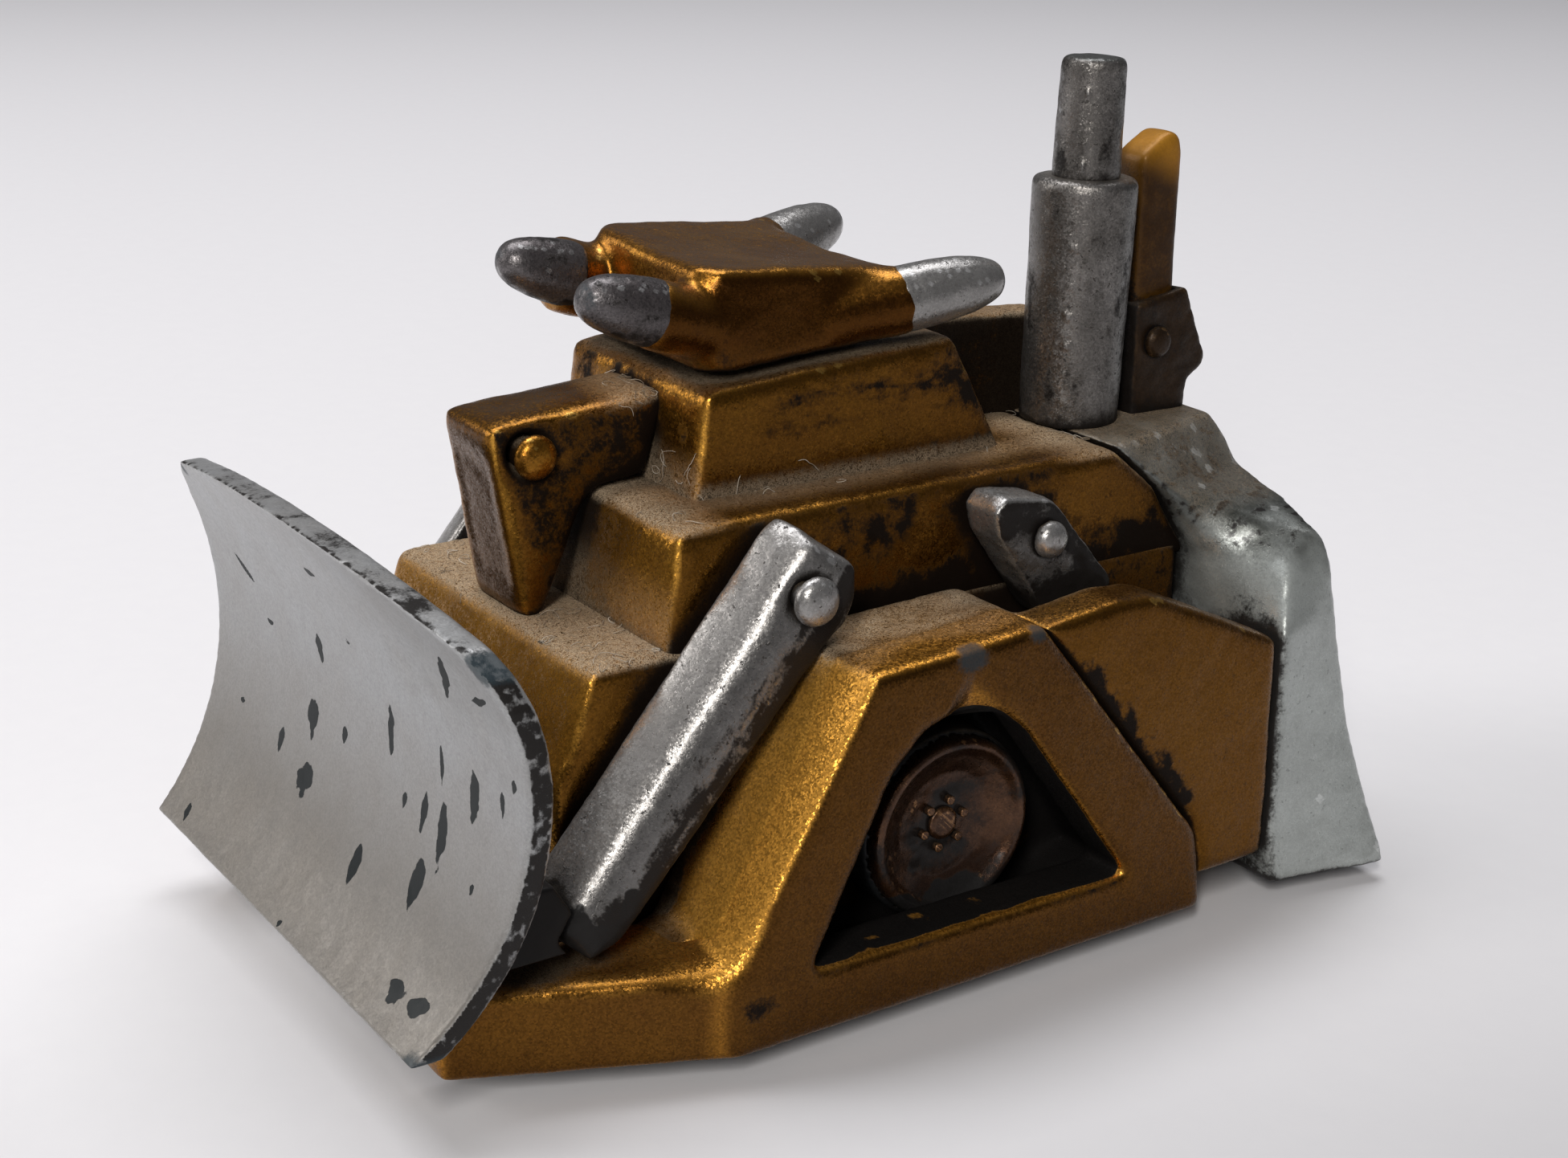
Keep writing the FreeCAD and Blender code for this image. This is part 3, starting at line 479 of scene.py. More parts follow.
    # the metallic share drops where light is painted, so those faces read as lit
    t.set(color=col, metal=t.math("MULTIPLY", t.math("SUBTRACT", t.math("SUBTRACT", 1.0, off, clamp=True), t.math("MULTIPLY", t.attr("painted_light"), 0.5), clamp=True), metal),
          rough=t.mixf(off, t.ramp(small, 0.3, 0.7, rough - 0.06, rough + 0.08), off_rough))
    h = t.math("ADD", t.math("MULTIPLY", small, 0.4 * bumpy), t.math("MULTIPLY", tiny, 0.22 * bumpy))
    h = t.math("SUBTRACT", h, t.math("MULTIPLY", chip, 1.4))
    h = t.math("ADD", h, t.math("MULTIPLY", d, t.math("ADD", t.math("MULTIPLY", thread, 0.9), t.math("MULTIPLY", tiny, 0.8))))
    h = t.math("ADD", h, t.math("MULTIPLY", gm, t.math("MULTIPLY", tiny, 0.9)))
    t.set(normal=t.bump(h, 0.035 * MM, 0.7, normal=nrm))
    t.bsdf.inputs["Specular IOR Level"].default_value = spec
    t.bsdf.inputs["Coat Weight"].default_value = coat
    t.bsdf.inputs["Coat Roughness"].default_value = coat_rough
    return t.mat


# gold paint and its copies for the turret and the side frames: the shade and lit colours are painted shade and painted
# light, and the copies' darker and lighter base colours are set for how light falls on those parts
GOLD_KW = dict(painted_shade=(0.11, 0.046, 0.007), metal=0.95, base=(0.40, 0.185, 0.022), alt=(0.25, 0.106, 0.015), edge=(0.85, 0.52, 0.13), coat=0.03, rough=0.27, glint=0.22,
               flake=0.14, coat_rough=0.12, lit=(0.70, 0.35, 0.055), spec=0.07)
GOLD = paint("gold_paint", **GOLD_KW, speck=0.3)
GOLD_TURRET = paint("gold_turret", base=(0.36, 0.165, 0.022), alt=(0.25, 0.105, 0.017), edge=(0.85, 0.52, 0.13), crease_grime_and_shade_amt=0.7,
                    dust_amt=0.15, wash_and_shade=0.35, metal=0.95, painted_shade=(0.07, 0.025, 0.0045), speck=0.3, coat=0.04, rough=0.27, glint=0.15, flake=0.12, spec=0.07)
GOLD_FRAME = paint("gold_frame", base=(0.44, 0.20, 0.026), alt=(0.33, 0.145, 0.024), edge=(0.85, 0.52, 0.12), crease_grime_and_shade_amt=0.8,
                   dust_amt=0.5, wash_and_shade=0.3, painted_shade=(0.060, 0.0245, 0.006), metal=0.95, speck=0.1, coat=0.03, rough=0.29, glint=0.3, flake=0.17, coat_rough=0.12, lit=(0.80, 0.39, 0.062), spec=0.07)
SILVER = paint("silver_paint", (0.42, 0.41, 0.40), (0.33, 0.32, 0.31), (0.85, 0.85, 0.85), metal=0.8, rough=0.30, flake=0.10,
               speck=0.85, crease_grime_and_shade_amt=1.0, dust_amt=0.35, painted_shade=(0.10, 0.095, 0.09), glint=0.12, grain=0.25, lit=(0.52, 0.48, 0.445), coat=0.12)
SPIKE = paint("dark_spike", (0.30, 0.29, 0.29), (0.20, 0.185, 0.19), (0.6, 0.6, 0.6), metal=0.7, rough=0.30, flake=0.10,
              speck=0.95, crease_grime_and_shade_amt=1.0, dust_amt=0.2, painted_shade=(0.085, 0.074, 0.074), glint=0.35, grain=0.7, coat=0.15, bumpy=1.4, pit=(0.012, 0.011, 0.011))
SILVER_BLADE = paint("silver_blade", (0.36, 0.37, 0.38), (0.31, 0.305, 0.30), (0.8, 0.81, 0.81), metal=0.45, rough=0.40,
                     flake=0.05, crease_grime_and_shade_amt=0.7, dust_amt=0.2, coat=0.15, var=0.8, glint=0.08, wash_and_shade=0.25, painted_shade=(0.19, 0.168, 0.14),
                     bumpy=0.6, grain=0.1)
SILVER_SKIRT = paint("silver_skirt", (0.41, 0.435, 0.42), (0.36, 0.38, 0.365), (0.8, 0.82, 0.81), metal=0.5, rough=0.32,
                     flake=0.05, crease_grime_and_shade_amt=0.8, dust_amt=0.5, coat=0.3, glint=0.08, wash_and_shade=0.3, painted_shade=(0.05, 0.053, 0.046), bumpy=0.5,
                     speck=0.3, grain=0.1)
STACK = paint("stack_metal", (0.235, 0.222, 0.21), (0.14, 0.13, 0.12), (0.85, 0.85, 0.86), metal=0.85, rough=0.34, flake=0.22,
              speck=0.7, crease_grime_and_shade_amt=0.9, dust_amt=0.4, glint=0.25, grain=0.45, bumpy=1.6, coat=0.1, painted_shade=(0.10, 0.11, 0.105))
OCHRE = paint("ochre_post", (0.36, 0.165, 0.016), (0.31, 0.135, 0.014), (0.5, 0.27, 0.05), metal=0.15, rough=0.38, flake=0.03,
              crease_grime_and_shade_amt=0.6, dust_amt=0.1, painted_shade=(0.032, 0.0135, 0.003), glint=0.06, edge_wear_and_highlight_amt=0.1, coat=0.06, spec=0.15)
BRACKET = paint("brown_bracket", (0.035, 0.018, 0.007), (0.018, 0.010, 0.005), (0.35, 0.2, 0.08), metal=0.5, rough=0.42,
                crease_grime_and_shade_amt=0.9, dust_amt=0.15, flake=0.1, glint=0.2, coat=0.05)
BLACK = paint("bare_plastic", (0.018, 0.02, 0.022), (0.012, 0.012, 0.012), (0.05, 0.05, 0.05), metal=0.0, rough=0.5, flake=0.02,
              crease_grime_and_shade_amt=0.5, dust_amt=0.3, edge_wear_and_highlight_amt=0.3, glint=0.05, coat=0.05)
COPPER = paint("copper_disc", (0.105, 0.047, 0.021), (0.05, 0.023, 0.012), (0.42, 0.22, 0.10), metal=0.8, rough=0.30, flake=0.12,
               crease_grime_and_shade_amt=0.7, dust_amt=0.1, glint=0.15, edge_wear_and_highlight_amt=0.9, var=0.3)
STEEL = paint("axle_steel", (0.5, 0.5, 0.5), (0.42, 0.42, 0.42), (0.7, 0.7, 0.7), metal=1.0, rough=0.3, flake=0.02, crease_grime_and_shade_amt=0.5,
              dust_amt=0.1, glint=0.05)


# ------------------------------------------------------------------ where the wear, wash, lint, chips, painted shade and painted light sit, in mm
def seg(y, z, a, b):
    """Distance in the side plane from the segment a-b."""
    ab = np.array(b, float) - np.array(a, float)
    s = np.clip(((y - a[0]) * ab[0] + (z - a[1]) * ab[1]) / (ab @ ab), 0, 1)
    return np.hypot(y - a[0] - s * ab[0], z - a[1] - s * ab[1])


def blob(d, r, soft=1.0):
    return 1 - smoothstep(r - soft * 0.5, r + soft * 0.5, d)


def inside(y, z, poly):
    c = np.zeros(len(y), dtype=bool)
    for (y0, z0), (y1, z1) in zip(poly, poly[1:] + poly[:1]):
        cut = (z0 > z) != (z1 > z)
        with np.errstate(divide="ignore", invalid="ignore"):
            c ^= cut & (y < (y1 - y0) * (z - z0) / (z1 - z0 + 1e-12) + y0)
    return c


WINDOW = [(-7.55, 3.75), (-3.94, 11.1), (-2.5, 12.6), (-1.7, 12.9), (1.4, 12.55), (2.7, 11.6), (8.55, 3.65)]
CHIPS = [(-10.56, 14.93, 1.5, 0.22, -25), (-1.38, 17.6, 0.9, 0.25, 0), (-8.42, 13.13, 0.6, 0.2, 0), (-3.11, 13.84, 0.5, 1.2, 8),
         (-10.68, 8.89, 0.35, 0.2, 0), (-3.7, 10.62, 0.75, 1.35, 5), (-6.24, 8.76, 0.4, 0.8, 8), (-0.6, 10.83, 0.4, 0.55, 0),
         (-3.28, 8.12, 0.95, 1.15, 10), (3.6, 12.65, 0.4, 1.7, 0), (10.25, 17.27, 0.45, 1.9, -28), (12.71, 16.95, 1.1, 0.3, 20),
         (8.04, 12.85, 0.3, 1.3, 0), (5.17, 10.19, 0.3, 0.6, 0), (6.84, 10.46, 0.35, 1.5, 0), (8.46, 10.35, 0.6, 2.0, 6),
         (10.73, 12.67, 0.55, 2.0, 0), (12.96, 13.07, 0.25, 0.8, 0), (13.99, 14.04, 0.3, 0.6, -20), (2.88, 7.01, 0.5, 1.35, 8),
         (7.51, 8.04, 0.7, 1.5, 10), (11.39, 9.09, 0.22, 0.35, 0), (9.58, 4.85, 0.95, 0.65, 0), (11.34, 4.91, 0.95, 0.5, 10),
         (-10.84, 4.19, 0.35, 0.6, 40), (0.48, 3.77, 0.22, 0.2, 0)]


def chips_on(co, front):
    out = np.zeros(len(co))
    wobble = vnoise(co * 2.4, 77) + 0.6 * vnoise(co * 5.0, 78)
    for x, z, w, h, a in CHIPS:
        c, s = math.cos(math.radians(a)), math.sin(math.radians(a))
        u, v = co[:, 0] - x, co[:, 2] - z
        p, q = c * u + s * v, -s * u + c * v
        r = np.abs(p / (w * 0.74)) ** 1.4 + np.abs(q / (h * 0.60) * (1 + 0.3 * np.sign(q))) ** 1.4 + 0.30 * wobble
        out = np.maximum(out, 1 - smoothstep(0.5, 1.35, r))
    return out * front


def marks(node, co, no):
    """Vertex attributes for a node: grime mixed with painted shade, dust, wear, chip, painted shade, black mixed with
    painted shade, and painted light, each about 0 to 1.
    """
    x, y, z = np.abs(co[:, 0]), co[:, 1], co[:, 2]
    n = len(co)
    g, d, w, ch, sh, bl, br = (np.zeros(n) for _ in range(7))
    out = smoothstep(0.5, 0.9, np.abs(no[:, 0]))
    up = smoothstep(0.3, 0.9, no[:, 2])
    wob = fbm(co * 0.8, 5, 3)
    if node == "superstructure":
        st = vnoise(co * np.array([1, 0.5, 3.2]), 3) * 0.5 + fbm(co * np.array([1.5, 1.2, 5]), 8, 2) * 0.35
        band = blob(np.abs(z - 23.2 - 0.06 * (y + 3)), 1.1, 1.2) * smoothstep(-5.0, -2.5, y)
        g = out * (band * (0.42 + 0.65 * st) + smoothstep(2.0, 7.5, y) * (0.35 + 0.3 * wob) + 0.38 * blob(z - 20.15, 0.7, 1.0))
        front = smoothstep(0.4, 0.9, -no[:, 1])
        g += front * (0.22 + 0.4 * wob) * (1 - smoothstep(4.2, 5.4, x))
        d = front * 0.5 * blob(z - 20.15, 1.2, 2.0) + out * 0.5 * blob(z - 20.3, 0.3, 0.7) + smoothstep(4, 8.5, y) * up * 0.4
        # painted shade on the side faces, painted light on the front face
        sh = out * 0.35
        br = front * 0.15 * smoothstep(5.0, 5.6, x)
    elif node == "hull_upper":
        # side faces darkened: grime together with painted shade; front faces get painted light
        side = out * smoothstep(-8.5, -6.0, y)
        g = side * (0.42 + 0.35 * wob) * (1 - 0.6 * smoothstep(8, 11, y) * smoothstep(17.0, 18.5, z)) + out * 0.5 * blob(z - 15.4, 0.8, 1.5)
        d = up * (0.75 * (1 - smoothstep(-9.3, -6.5, y)) + 0.75 * smoothstep(9.0, 12.0, y) + 0.35 * blob(np.abs(x - 6.0), 0.9, 1.6))
        br = smoothstep(0.4, 0.9, -no[:, 1]) * 0.22
        d += smoothstep(0.4, 0.9, -no[:, 1]) * 0.3 * blob(z - 15.6, 1.6, 2.5)
        g += smoothstep(0.4, 0.9, -no[:, 1]) * blob(np.abs(x - 2.5), 2.2, 2.5) * 0.4
    elif node == "hull_lower":
        top = up * smoothstep(-14.4, -13.0, y)
        d = top * (1.2 + 0.2 * wob) * (1 - smoothstep(-8.5, -6.5, y))
        g = top * 0.05 + out * smoothstep(-13.0, -11.0, y) * 0.5
        # front faces: painted shade towards the bottom, painted light towards the top
        fr = smoothstep(0.4, 0.9, -no[:, 1])
        g += fr * (0.12 * wob + 0.45 * smoothstep(8.0, 3.5, z))
        br = fr * 0.4 * smoothstep(4.0, 9.0, z)
    elif node == "nose_block":
        side = smoothstep(0.5, 0.85, np.abs(no[:, 0]))
        g = side * (0.62 * smoothstep(-13.2, -12.0, y + 0.35 * (z - 18)) * (1 - 0.35 * smoothstep(22.9, 23.5, z)) + 0.1 * wob)
        d = up * smoothstep(-9.5, -7.3, y) * 0.4
        # painted shade in the middle of the front face
        sh = smoothstep(0.55, 0.95, -no[:, 1]) * blob(x, 1.7, 0.7)
    elif node == "engine_cover":
        # side faces darkened as painted shade, over an even grime
        g = out * 0.55 + 0.25
        d = up * 0.5 + 0.02
    elif node == "turret_body":
        # painted shade on the side faces
        sh = out * 0.95 * (1 - up)
        g = 0.25 * smoothstep(24.9, 25.6, 25.9 + 0 * z - (z + 0.07 * y)) * 0
        g += blob(z + 0.073 * y - 25.2, 0.5, 0.8) * 0.35
    elif node.startswith("side_frame"):
        outer = out * smoothstep(14.9, 15.3, x)
        # painted shade on the outer faces and the front of the foot
        sh = np.maximum(outer * 0.9, out * smoothstep(-11.0, -12.5, y) * 0.8)
        win = inside(y, z, [(a + (0.35 if a > 0 else -0.35) * 0.5, b) for a, b in WINDOW]) | (
            inside(y, z, WINDOW))
        inw = (1 - smoothstep(14.7, 15.25, x)) * blob(np.minimum.reduce([seg(y, z, a, b) for a, b in zip(WINDOW, WINDOW[1:] + WINDOW[:1])]), 0.35, 0.2)
        bl = np.where(z > 4.1, inw * 1.2, inw * (1.0 + 0.5 * wob))
        low = blob(seg(y, z, (-7.3, 3.75), (8.4, 3.65)), 0.45, 0.6)
        g = outer * low * (0.35 + 0.4 * wob) + outer * 0.06 * smoothstep(-8.5, -11.5, y)
        # wear at the apex, dark patches on the foot
        w = outer * np.maximum(blob(np.hypot((y + 0.35) * 0.8, z - 15.35), 0.65, 1.1), blob(np.hypot((y - 3.0) * 0.8, z - 15.75), 0.45, 0.9))
        w = np.maximum(w, np.maximum(blob(np.hypot(y + 0.35, z - 15.6), 0.6, 0.8), blob(np.hypot(y - 3.1, z - 15.95), 0.55, 0.7)) * smoothstep(14.2, 15.2, x))
        g += outer * (0.55 * blob(np.hypot((y + 14.2) * 0.45, z - 3.3 - 0.12 * (y + 14)), 0.75, 1.0) * (0.6 + 0.9 * wob)
                      + 0.62 * blob(np.hypot((y + 10.0) * 0.6, z - 3.0), 0.55, 1.0))
        g += 0.5 * blob(np.hypot(y + 17.6, z - 5.5), 1.0, 2.0) * up
        d = up * smoothstep(15.0, 15.4, z) * (1 - smoothstep(13.0, 14.8, x + 0.7 * wob)) * 0.45
        g += blob(np.hypot(y + 17.0, z - 5.0), 0.5, 4.0) * (1 - smoothstep(10.5, 13.0, x)) * 0.8 - 0.12 * up * 0
        # the lit front slope: less grime and painted light; painted light also on the top of the foot near the front
        slope = smoothstep(0.3, 0.6, -no[:, 1]) * smoothstep(0.1, 0.3, no[:, 2])
        g -= 0.6 * slope
        br = slope * 0.75 * smoothstep(9.2, 11.0, x) + up * (1 - outer) * smoothstep(-15.0, -12.5, y) * smoothstep(7.0, 5.5, z) * 0.2
    elif node.startswith("track_guard"):
        outer = out * smoothstep(14.4, 14.8, x)
        # painted shade on the side faces
        sh = out * 0.9
        dist = seg(y, z, (4.9, 14.1), (11.6, 6.2))
        smear = blob(dist, 0.9, 1.1) * smoothstep(15.2, 12.8, z) * smoothstep(4.6, 6.5, z)
        g = outer * smear * (0.85 + 0.5 * fbm(co * np.array([1, 2.2, 1.3]), 12, 3)) * 0.85
        bl = (1 - smoothstep(12.2, 12.7, x)) * smoothstep(9.8, 10.2, x) * inside(y, z, [(-9.2, 2.0), (-5.0, 12.0), (-2.8, 13.9), (2.4, 13.7), (4.2, 12.5), (10.2, 2.9), (9, 1.9)]) * 1.2
        d = up * smoothstep(14.5, 15.0, z) * (1 - smoothstep(12.0, 13.2, x)) * (0.5 + 0.3 * wob)
        g += up * smoothstep(14.2, 14.8, z) * blob(np.abs(y - 3.2), 1.0, 2.0) * (1 - smoothstep(11.0, 12.6, x)) * 0.6
        w = outer * 0
        # painted shadow of the arm on the front slope next to it, painted light on the rest of the slope
        fs = smoothstep(0.3, 0.7, -no[:, 1]) * smoothstep(0.1, 0.3, no[:, 2])
        near_arm = 1 - smoothstep(9.2, 11.4, x + 0.25 * wob + 0.12 * (z - 10))
        g += fs * (near_arm * 0.9 - 0.95 * (1 - near_arm))
        br = fs * (1 - near_arm) * 0.75
    elif node.startswith("lift_arm"):
        fr = smoothstep(0.5, 0.8, -no[:, 1])
        st = fbm(np.stack([co[:, 0] * 0.8, (co[:, 1] * 0.64 + co[:, 2] * 0.77) * 0.35, (co[:, 2] * 0.64 - co[:, 1] * 0.77) * 2.6], 1), 21, 3)
        s3 = co[:, 1] * 0.77 - co[:, 2] * 0.64
        st = fbm(np.stack([co[:, 0], (co[:, 1] * 0.64 + co[:, 2] * 0.77) * 0.8, s3 * 5.5], 1), 21, 3)
        # side faces darken away from the ridge and back faces darken: painted shade; the lower end darkens towards the
        # blade; the top face gets painted light
        g = out * (0.10 + 0.82 * smoothstep(s3.min() + 1.2, s3.max() - 0.7, s3) + 0.34 * st) + fr * (0.05 + 0.25 * vnoise(co * np.array([2.6, .5, .5]), 31)) + 0.5 * smoothstep(9.0, 6.0, z) * (0.5 + wob)
        top = smoothstep(0.3, 0.7, -no[:, 1]) * smoothstep(0.1, 0.4, no[:, 2])
        sh = np.maximum(out * 0.75 * (1 - blob(np.hypot(y + 5.8, z - 17.8), 1.6, 1.5) * 0.4), top * smoothstep(12.0, 11.6, x) * 0.15)
        br = top * 0.2
        g += 0.5 * smoothstep(0.6, 0.9, no[:, 1])
        bl = smoothstep(7.6, 6.2, z + 0.8 * wob) * 1.1
    elif node.startswith("blade_bracket"):
        bl = np.ones(n)
    elif node.startswith("rear_strut"):
        # side faces darkened and the top lightened: painted shade; darker towards the bottom
        g = out * (0.62 + 0.4 * wob) - 0.35 * up * smoothstep(17.6, 18.6, z)
        g += 0.5 * smoothstep(16.8, 15.4, z)
        sh = out * 0.9
    elif node == "blade":
        front = smoothstep(0.2, 0.6, -no[:, 1] * (12.75 < 0) + ((co[:, 1] + 32.0) * -no[:, 1] + (z - 12.75) * -no[:, 2]) / 12.45)
        rim = 1 - smoothstep(0.25, 0.6, np.abs(((co[:, 1] + 32.0) * no[:, 1] + (z - 12.75) * no[:, 2]) / 12.9))
        ch = chips_on(co, front)
        st = vnoise(co * np.array([0.9, 1, 3.5]), 17)
        ch = np.maximum(ch, front * blob(np.hypot((co[:, 0] - 1.5) * 0.35, z - 14.9), 0.55, 0.8) * smoothstep(0.35, 0.6, vnoise(co * np.array([1.1, 2, 5.0]), 41)) * 0.8)
        right = smoothstep(11.0, 13.5, co[:, 0]) * smoothstep(19.0, 17.5, z)
        g = rim * (0.62 + 0.15 * wob + 0.45 * vnoise(co * np.array([4.6, 4.6, 4.6]), 61)) + rim * right * 0.2
        g -= rim * smoothstep(4.0, -13.0, co[:, 0]) * 0.22
        g += 0.5 * smoothstep(0.5, 0.2, np.hypot(co[:, 1] + 32.0, z - 12.75) - 12.45 - 1.35) * 0
        # front face darkened towards the bottom: painted shade
        sh = front * (1 - smoothstep(4.0, 16.0, z)) * 0.8
        g += front * 0.12 * blob(z - 3.4, 1.0, 2.0) + (1 - front) * (1 - rim) * (0.3 + 0.3 * wob)
        w = np.maximum(blob(np.hypot(co[:, 0] - 14.3, z - 18.9), 0.75, 0.9), blob(np.hypot(co[:, 0] - 12.8, z - 3.2), 0.7, 0.9))
        w = np.maximum(w, blob(np.hypot(co[:, 0] + 13.4, z - 18.9), 0.35, 0.8))
    elif node == "rear_skirt":
        upper = smoothstep(14.4, 16.8, z + 0.5 * wob)
        g = upper * (0.30 + 0.22 * wob + 0.5 * np.clip(fbm(co * np.array([3.6, 2.4, 3.6]), 33, 3), -0.4, 1)) + 0.55 * (1 - smoothstep(17.4, 18.1, y)) * smoothstep(10, 12, x)
        # painted shade on the upper skirt and on its rear faces; darker along the bottom edge
        sh = upper * (0.9 + 0.25 * wob) + 0.9 * smoothstep(0.35, 0.8, no[:, 1]) * smoothstep(22.0, 23.2, y)
        g += 0.45 * blob(z - 0.8, 0.25, 0.4)
        d = smoothstep(18.5, 20.0, z) * up * 0.5 + upper * smoothstep(0.1, 0.3, no[:, 2]) * smoothstep(10.5, 8.8, x) * 0.4
    elif node.startswith("spike"):
        far = 1.0
        tipy = smoothstep(-9.4, -10.7, y) if "front" in node else smoothstep(6.5, 7.9, y)
        # front spikes darkened except towards the tip, and undersides darkened: painted shade
        sh = (0.95 - 0.35 * tipy) * np.ones(n) if "front" in node else 0.05 + 0.2 * (1 - tipy)
        g = (0.22 + 0.35 * wob + 0.25 * vnoise(co * 3.0, 44)) if "front" in node else (0.1 * wob - 0.3 * up)
        g = g + 0.35 * smoothstep(0.2, 0.8, -no[:, 2])
        w = tipy * smoothstep(0.2, 0.7, no[:, 1] * (-1 if "front" in node else 1)) * 0.6 * (0.5 + 0.8 * wob)
    elif node.startswith("stack"):
        g = 0.2 + 0.38 * fbm(co * np.array([1.4, 1.4, 0.5]), 51, 3)
        g += 0.3 * blob(z - 20.2, 0.7, 1.0)
        # painted shade on the stack's top faces and on the faces turned from the light; less grime on a ring at the
        # shoulder, a painted highlight
        sh = smoothstep(0.6, 0.95, no[:, 2]) * (0.9 if node == "stack_upper" else -0.0) + 0.55 * smoothstep(0.2, 0.9, no[:, 0] * 0.3 + no[:, 1])
        g -= 0.5 * blob(np.abs(z - 30.9), 0.25, 0.3)
    elif node == "rear_post":
        # the post darkens towards the bottom
        sh = smoothstep(32.2, 30.2, z + 0.5 * (y - 18.5))
    elif node == "post_bracket":
        g = 0.2 + 0.3 * wob
    elif node.startswith("idler_disc"):
        g = 0.2 + 0.35 * wob + 0.3 * blob(np.hypot(y - 1.35, z - 6.45), 1.8, 1.6)
        # the disc goes black towards the bottom
        bl = smoothstep(4.6, 3.2, z + 0.5 * wob) * 0.9
    elif node.startswith("lift_pin") or node.startswith("strut_pin"):
        g = 0.22 + 0.3 * wob
    if node in ("superstructure", "hull_upper", "hull_lower", "nose_block"):
        # painted highlight on the rounded corners between the front and the sides, with less grime there
        rim = smoothstep(0.36, 0.66, np.abs(no[:, 0])) * smoothstep(0.36, 0.66, -no[:, 1]) * smoothstep(0.8, 0.5, no[:, 2])
        z0, z1, floor = {"superstructure": (20, 23, 0.8), "hull_upper": (15.5, 19.8, 0.3), "hull_lower": (9.0, 15.2, 0.15),
                         "nose_block": (16, 22.5, 0.3)}[node]
        rim = rim * (floor + (1 - floor) * smoothstep(z0, z1, z)) * np.clip(1 + 0.5 * wob, 0.5, 1.3)
        br = np.maximum(br, rim * 0.75)
        g = g - 0.5 * rim
    if SLOT[node] == "gold_paint" and not node.startswith("side_frame") and node != "turret_body" and node != "nose_pin":
        # painted shade on the side faces and the top faces of the gold pieces
        sh = np.maximum(sh, out * 0.8)
        sh = np.maximum(sh, smoothstep(0.5, 0.9, no[:, 2]) * 0.45)
    cl = lambda a, lo=-0.6, hi=1.4: np.clip(np.asarray(a, float) * np.ones(n), lo, hi)
    return {"grime_and_shade": cl(g), "dust": cl(d, 0), "wear": cl(w, 0), "chip": cl(ch, 0), "painted_shade": cl(sh, 0, 1), "black_and_shade": cl(bl, 0), "painted_light": cl(br, 0, 1)}


# ------------------------------------------------------------------ shapes that the plain CAD solids leave out
def facet(side):
    """A shallow three-cornered facet in the outer face above the window."""
    tip, left, right = (-0.28, 15.6), (-1.85, 12.75), (2.2, 12.35)

    def f(co, me):
        x = np.abs(co[:, 0])
        y, z = co[:, 1], co[:, 2]

        def edge(p, q):
            nx, nz = q[1] - p[1], -(q[0] - p[0])
            ln = math.hypot(nx, nz)
            return ((y - p[0]) * nx + (z - p[1]) * nz) / ln
        inn = np.minimum(-edge(left, tip) if edge_sign(left, tip) > 0 else edge(left, tip),
                         -edge(tip, right) if edge_sign(tip, right) > 0 else edge(tip, right))
        depth = 0.62 * np.clip(inn / 1.1, 0, 1) * np.clip((15.6 - z) / 2.6, 0, 1)
        m = smoothstep(14.6, 15.2, x) * (z > 11.8)
        co[:, 0] -= np.sign(co[:, 0]) * depth * m
        return co

    def edge_sign(p, q):
        c = (0.0, 13.4)
        nx, nz = q[1] - p[1], -(q[0] - p[0])
        return -((c[0] - p[0]) * nx + (c[1] - p[1]) * nz)
    return f


def foot_blend(co, me):
    d = seg(co[:, 1], co[:, 2], (-11.4, 4.6), (-10.4, 5.0))
    w = blob(d, 1.9, 1.6) * smoothstep(8.5, 9.5, np.abs(co[:, 0]))
    return laplace(me, co, 90, 0.5, w)


def frame_shape(co, me):
    return facet(1)(foot_blend(co, me), me)


def frame_pre(co, node):
    """Front slope a little steeper, and its inner edge carried into the guard so that no groove shows."""
    x, y, z = np.abs(co[:, 0]), co[:, 1].copy(), co[:, 2]
    sg = np.sign(co[:, 0])
    low = (np.abs(y + 11.66) < 0.03) & (np.abs(z - 4.7) < 0.03)
    co[low, 1] += 0.55
    mid = (np.abs(y + 7.05) < 0.03) & (np.abs(z - 12.2) < 0.03)
    co[mid, 1] += 0.22
    front = (x < 12.9) & (x > 12.2) & (((y < -4.5) & (z > 4.5)) | (z > 15.0))
    co[front, 0] -= sg[front] * 0.5
    return co


def guard_pre(co, node):
    """The slope and top of the guard lie flush with the outer frame."""
    x, y, z = np.abs(co[:, 0]), co[:, 1].copy(), co[:, 2].copy()
    a = (np.abs(y + 11.5) < 0.05) & (np.abs(z - 4.75) < 0.05)
    co[a, 1] = -11.15
    b = (np.abs(y + 4.97) < 0.05) & (np.abs(z - 15.3) < 0.05)
    co[b, 1] = -5.0
    co[b, 2] = 15.46
    c = (np.abs(y - 3.6) < 0.05) & (np.abs(z - 15.3) < 0.05)
    co[c, 2] = 15.75
    return co


def rear_pre(co, node):
    """The rear end runs a little way into the piece behind it."""
    co[:, 1] += 0.8 * (co[:, 1] > co[:, 1].max() - 0.15)
    return co


def nose_pre(co, node):
    """Allows for what the rounding takes off the front and the top."""
    y, z = co[:, 1].copy(), co[:, 2].copy()
    co = rear_pre(co, node)
    co[:, 0] *= 1.035
    co[:, 1] -= 0.38 * smoothstep(-11.5, -13.5, y)
    co[:, 2] += 0.22 * smoothstep(20.5, 23.0, z)
    return co


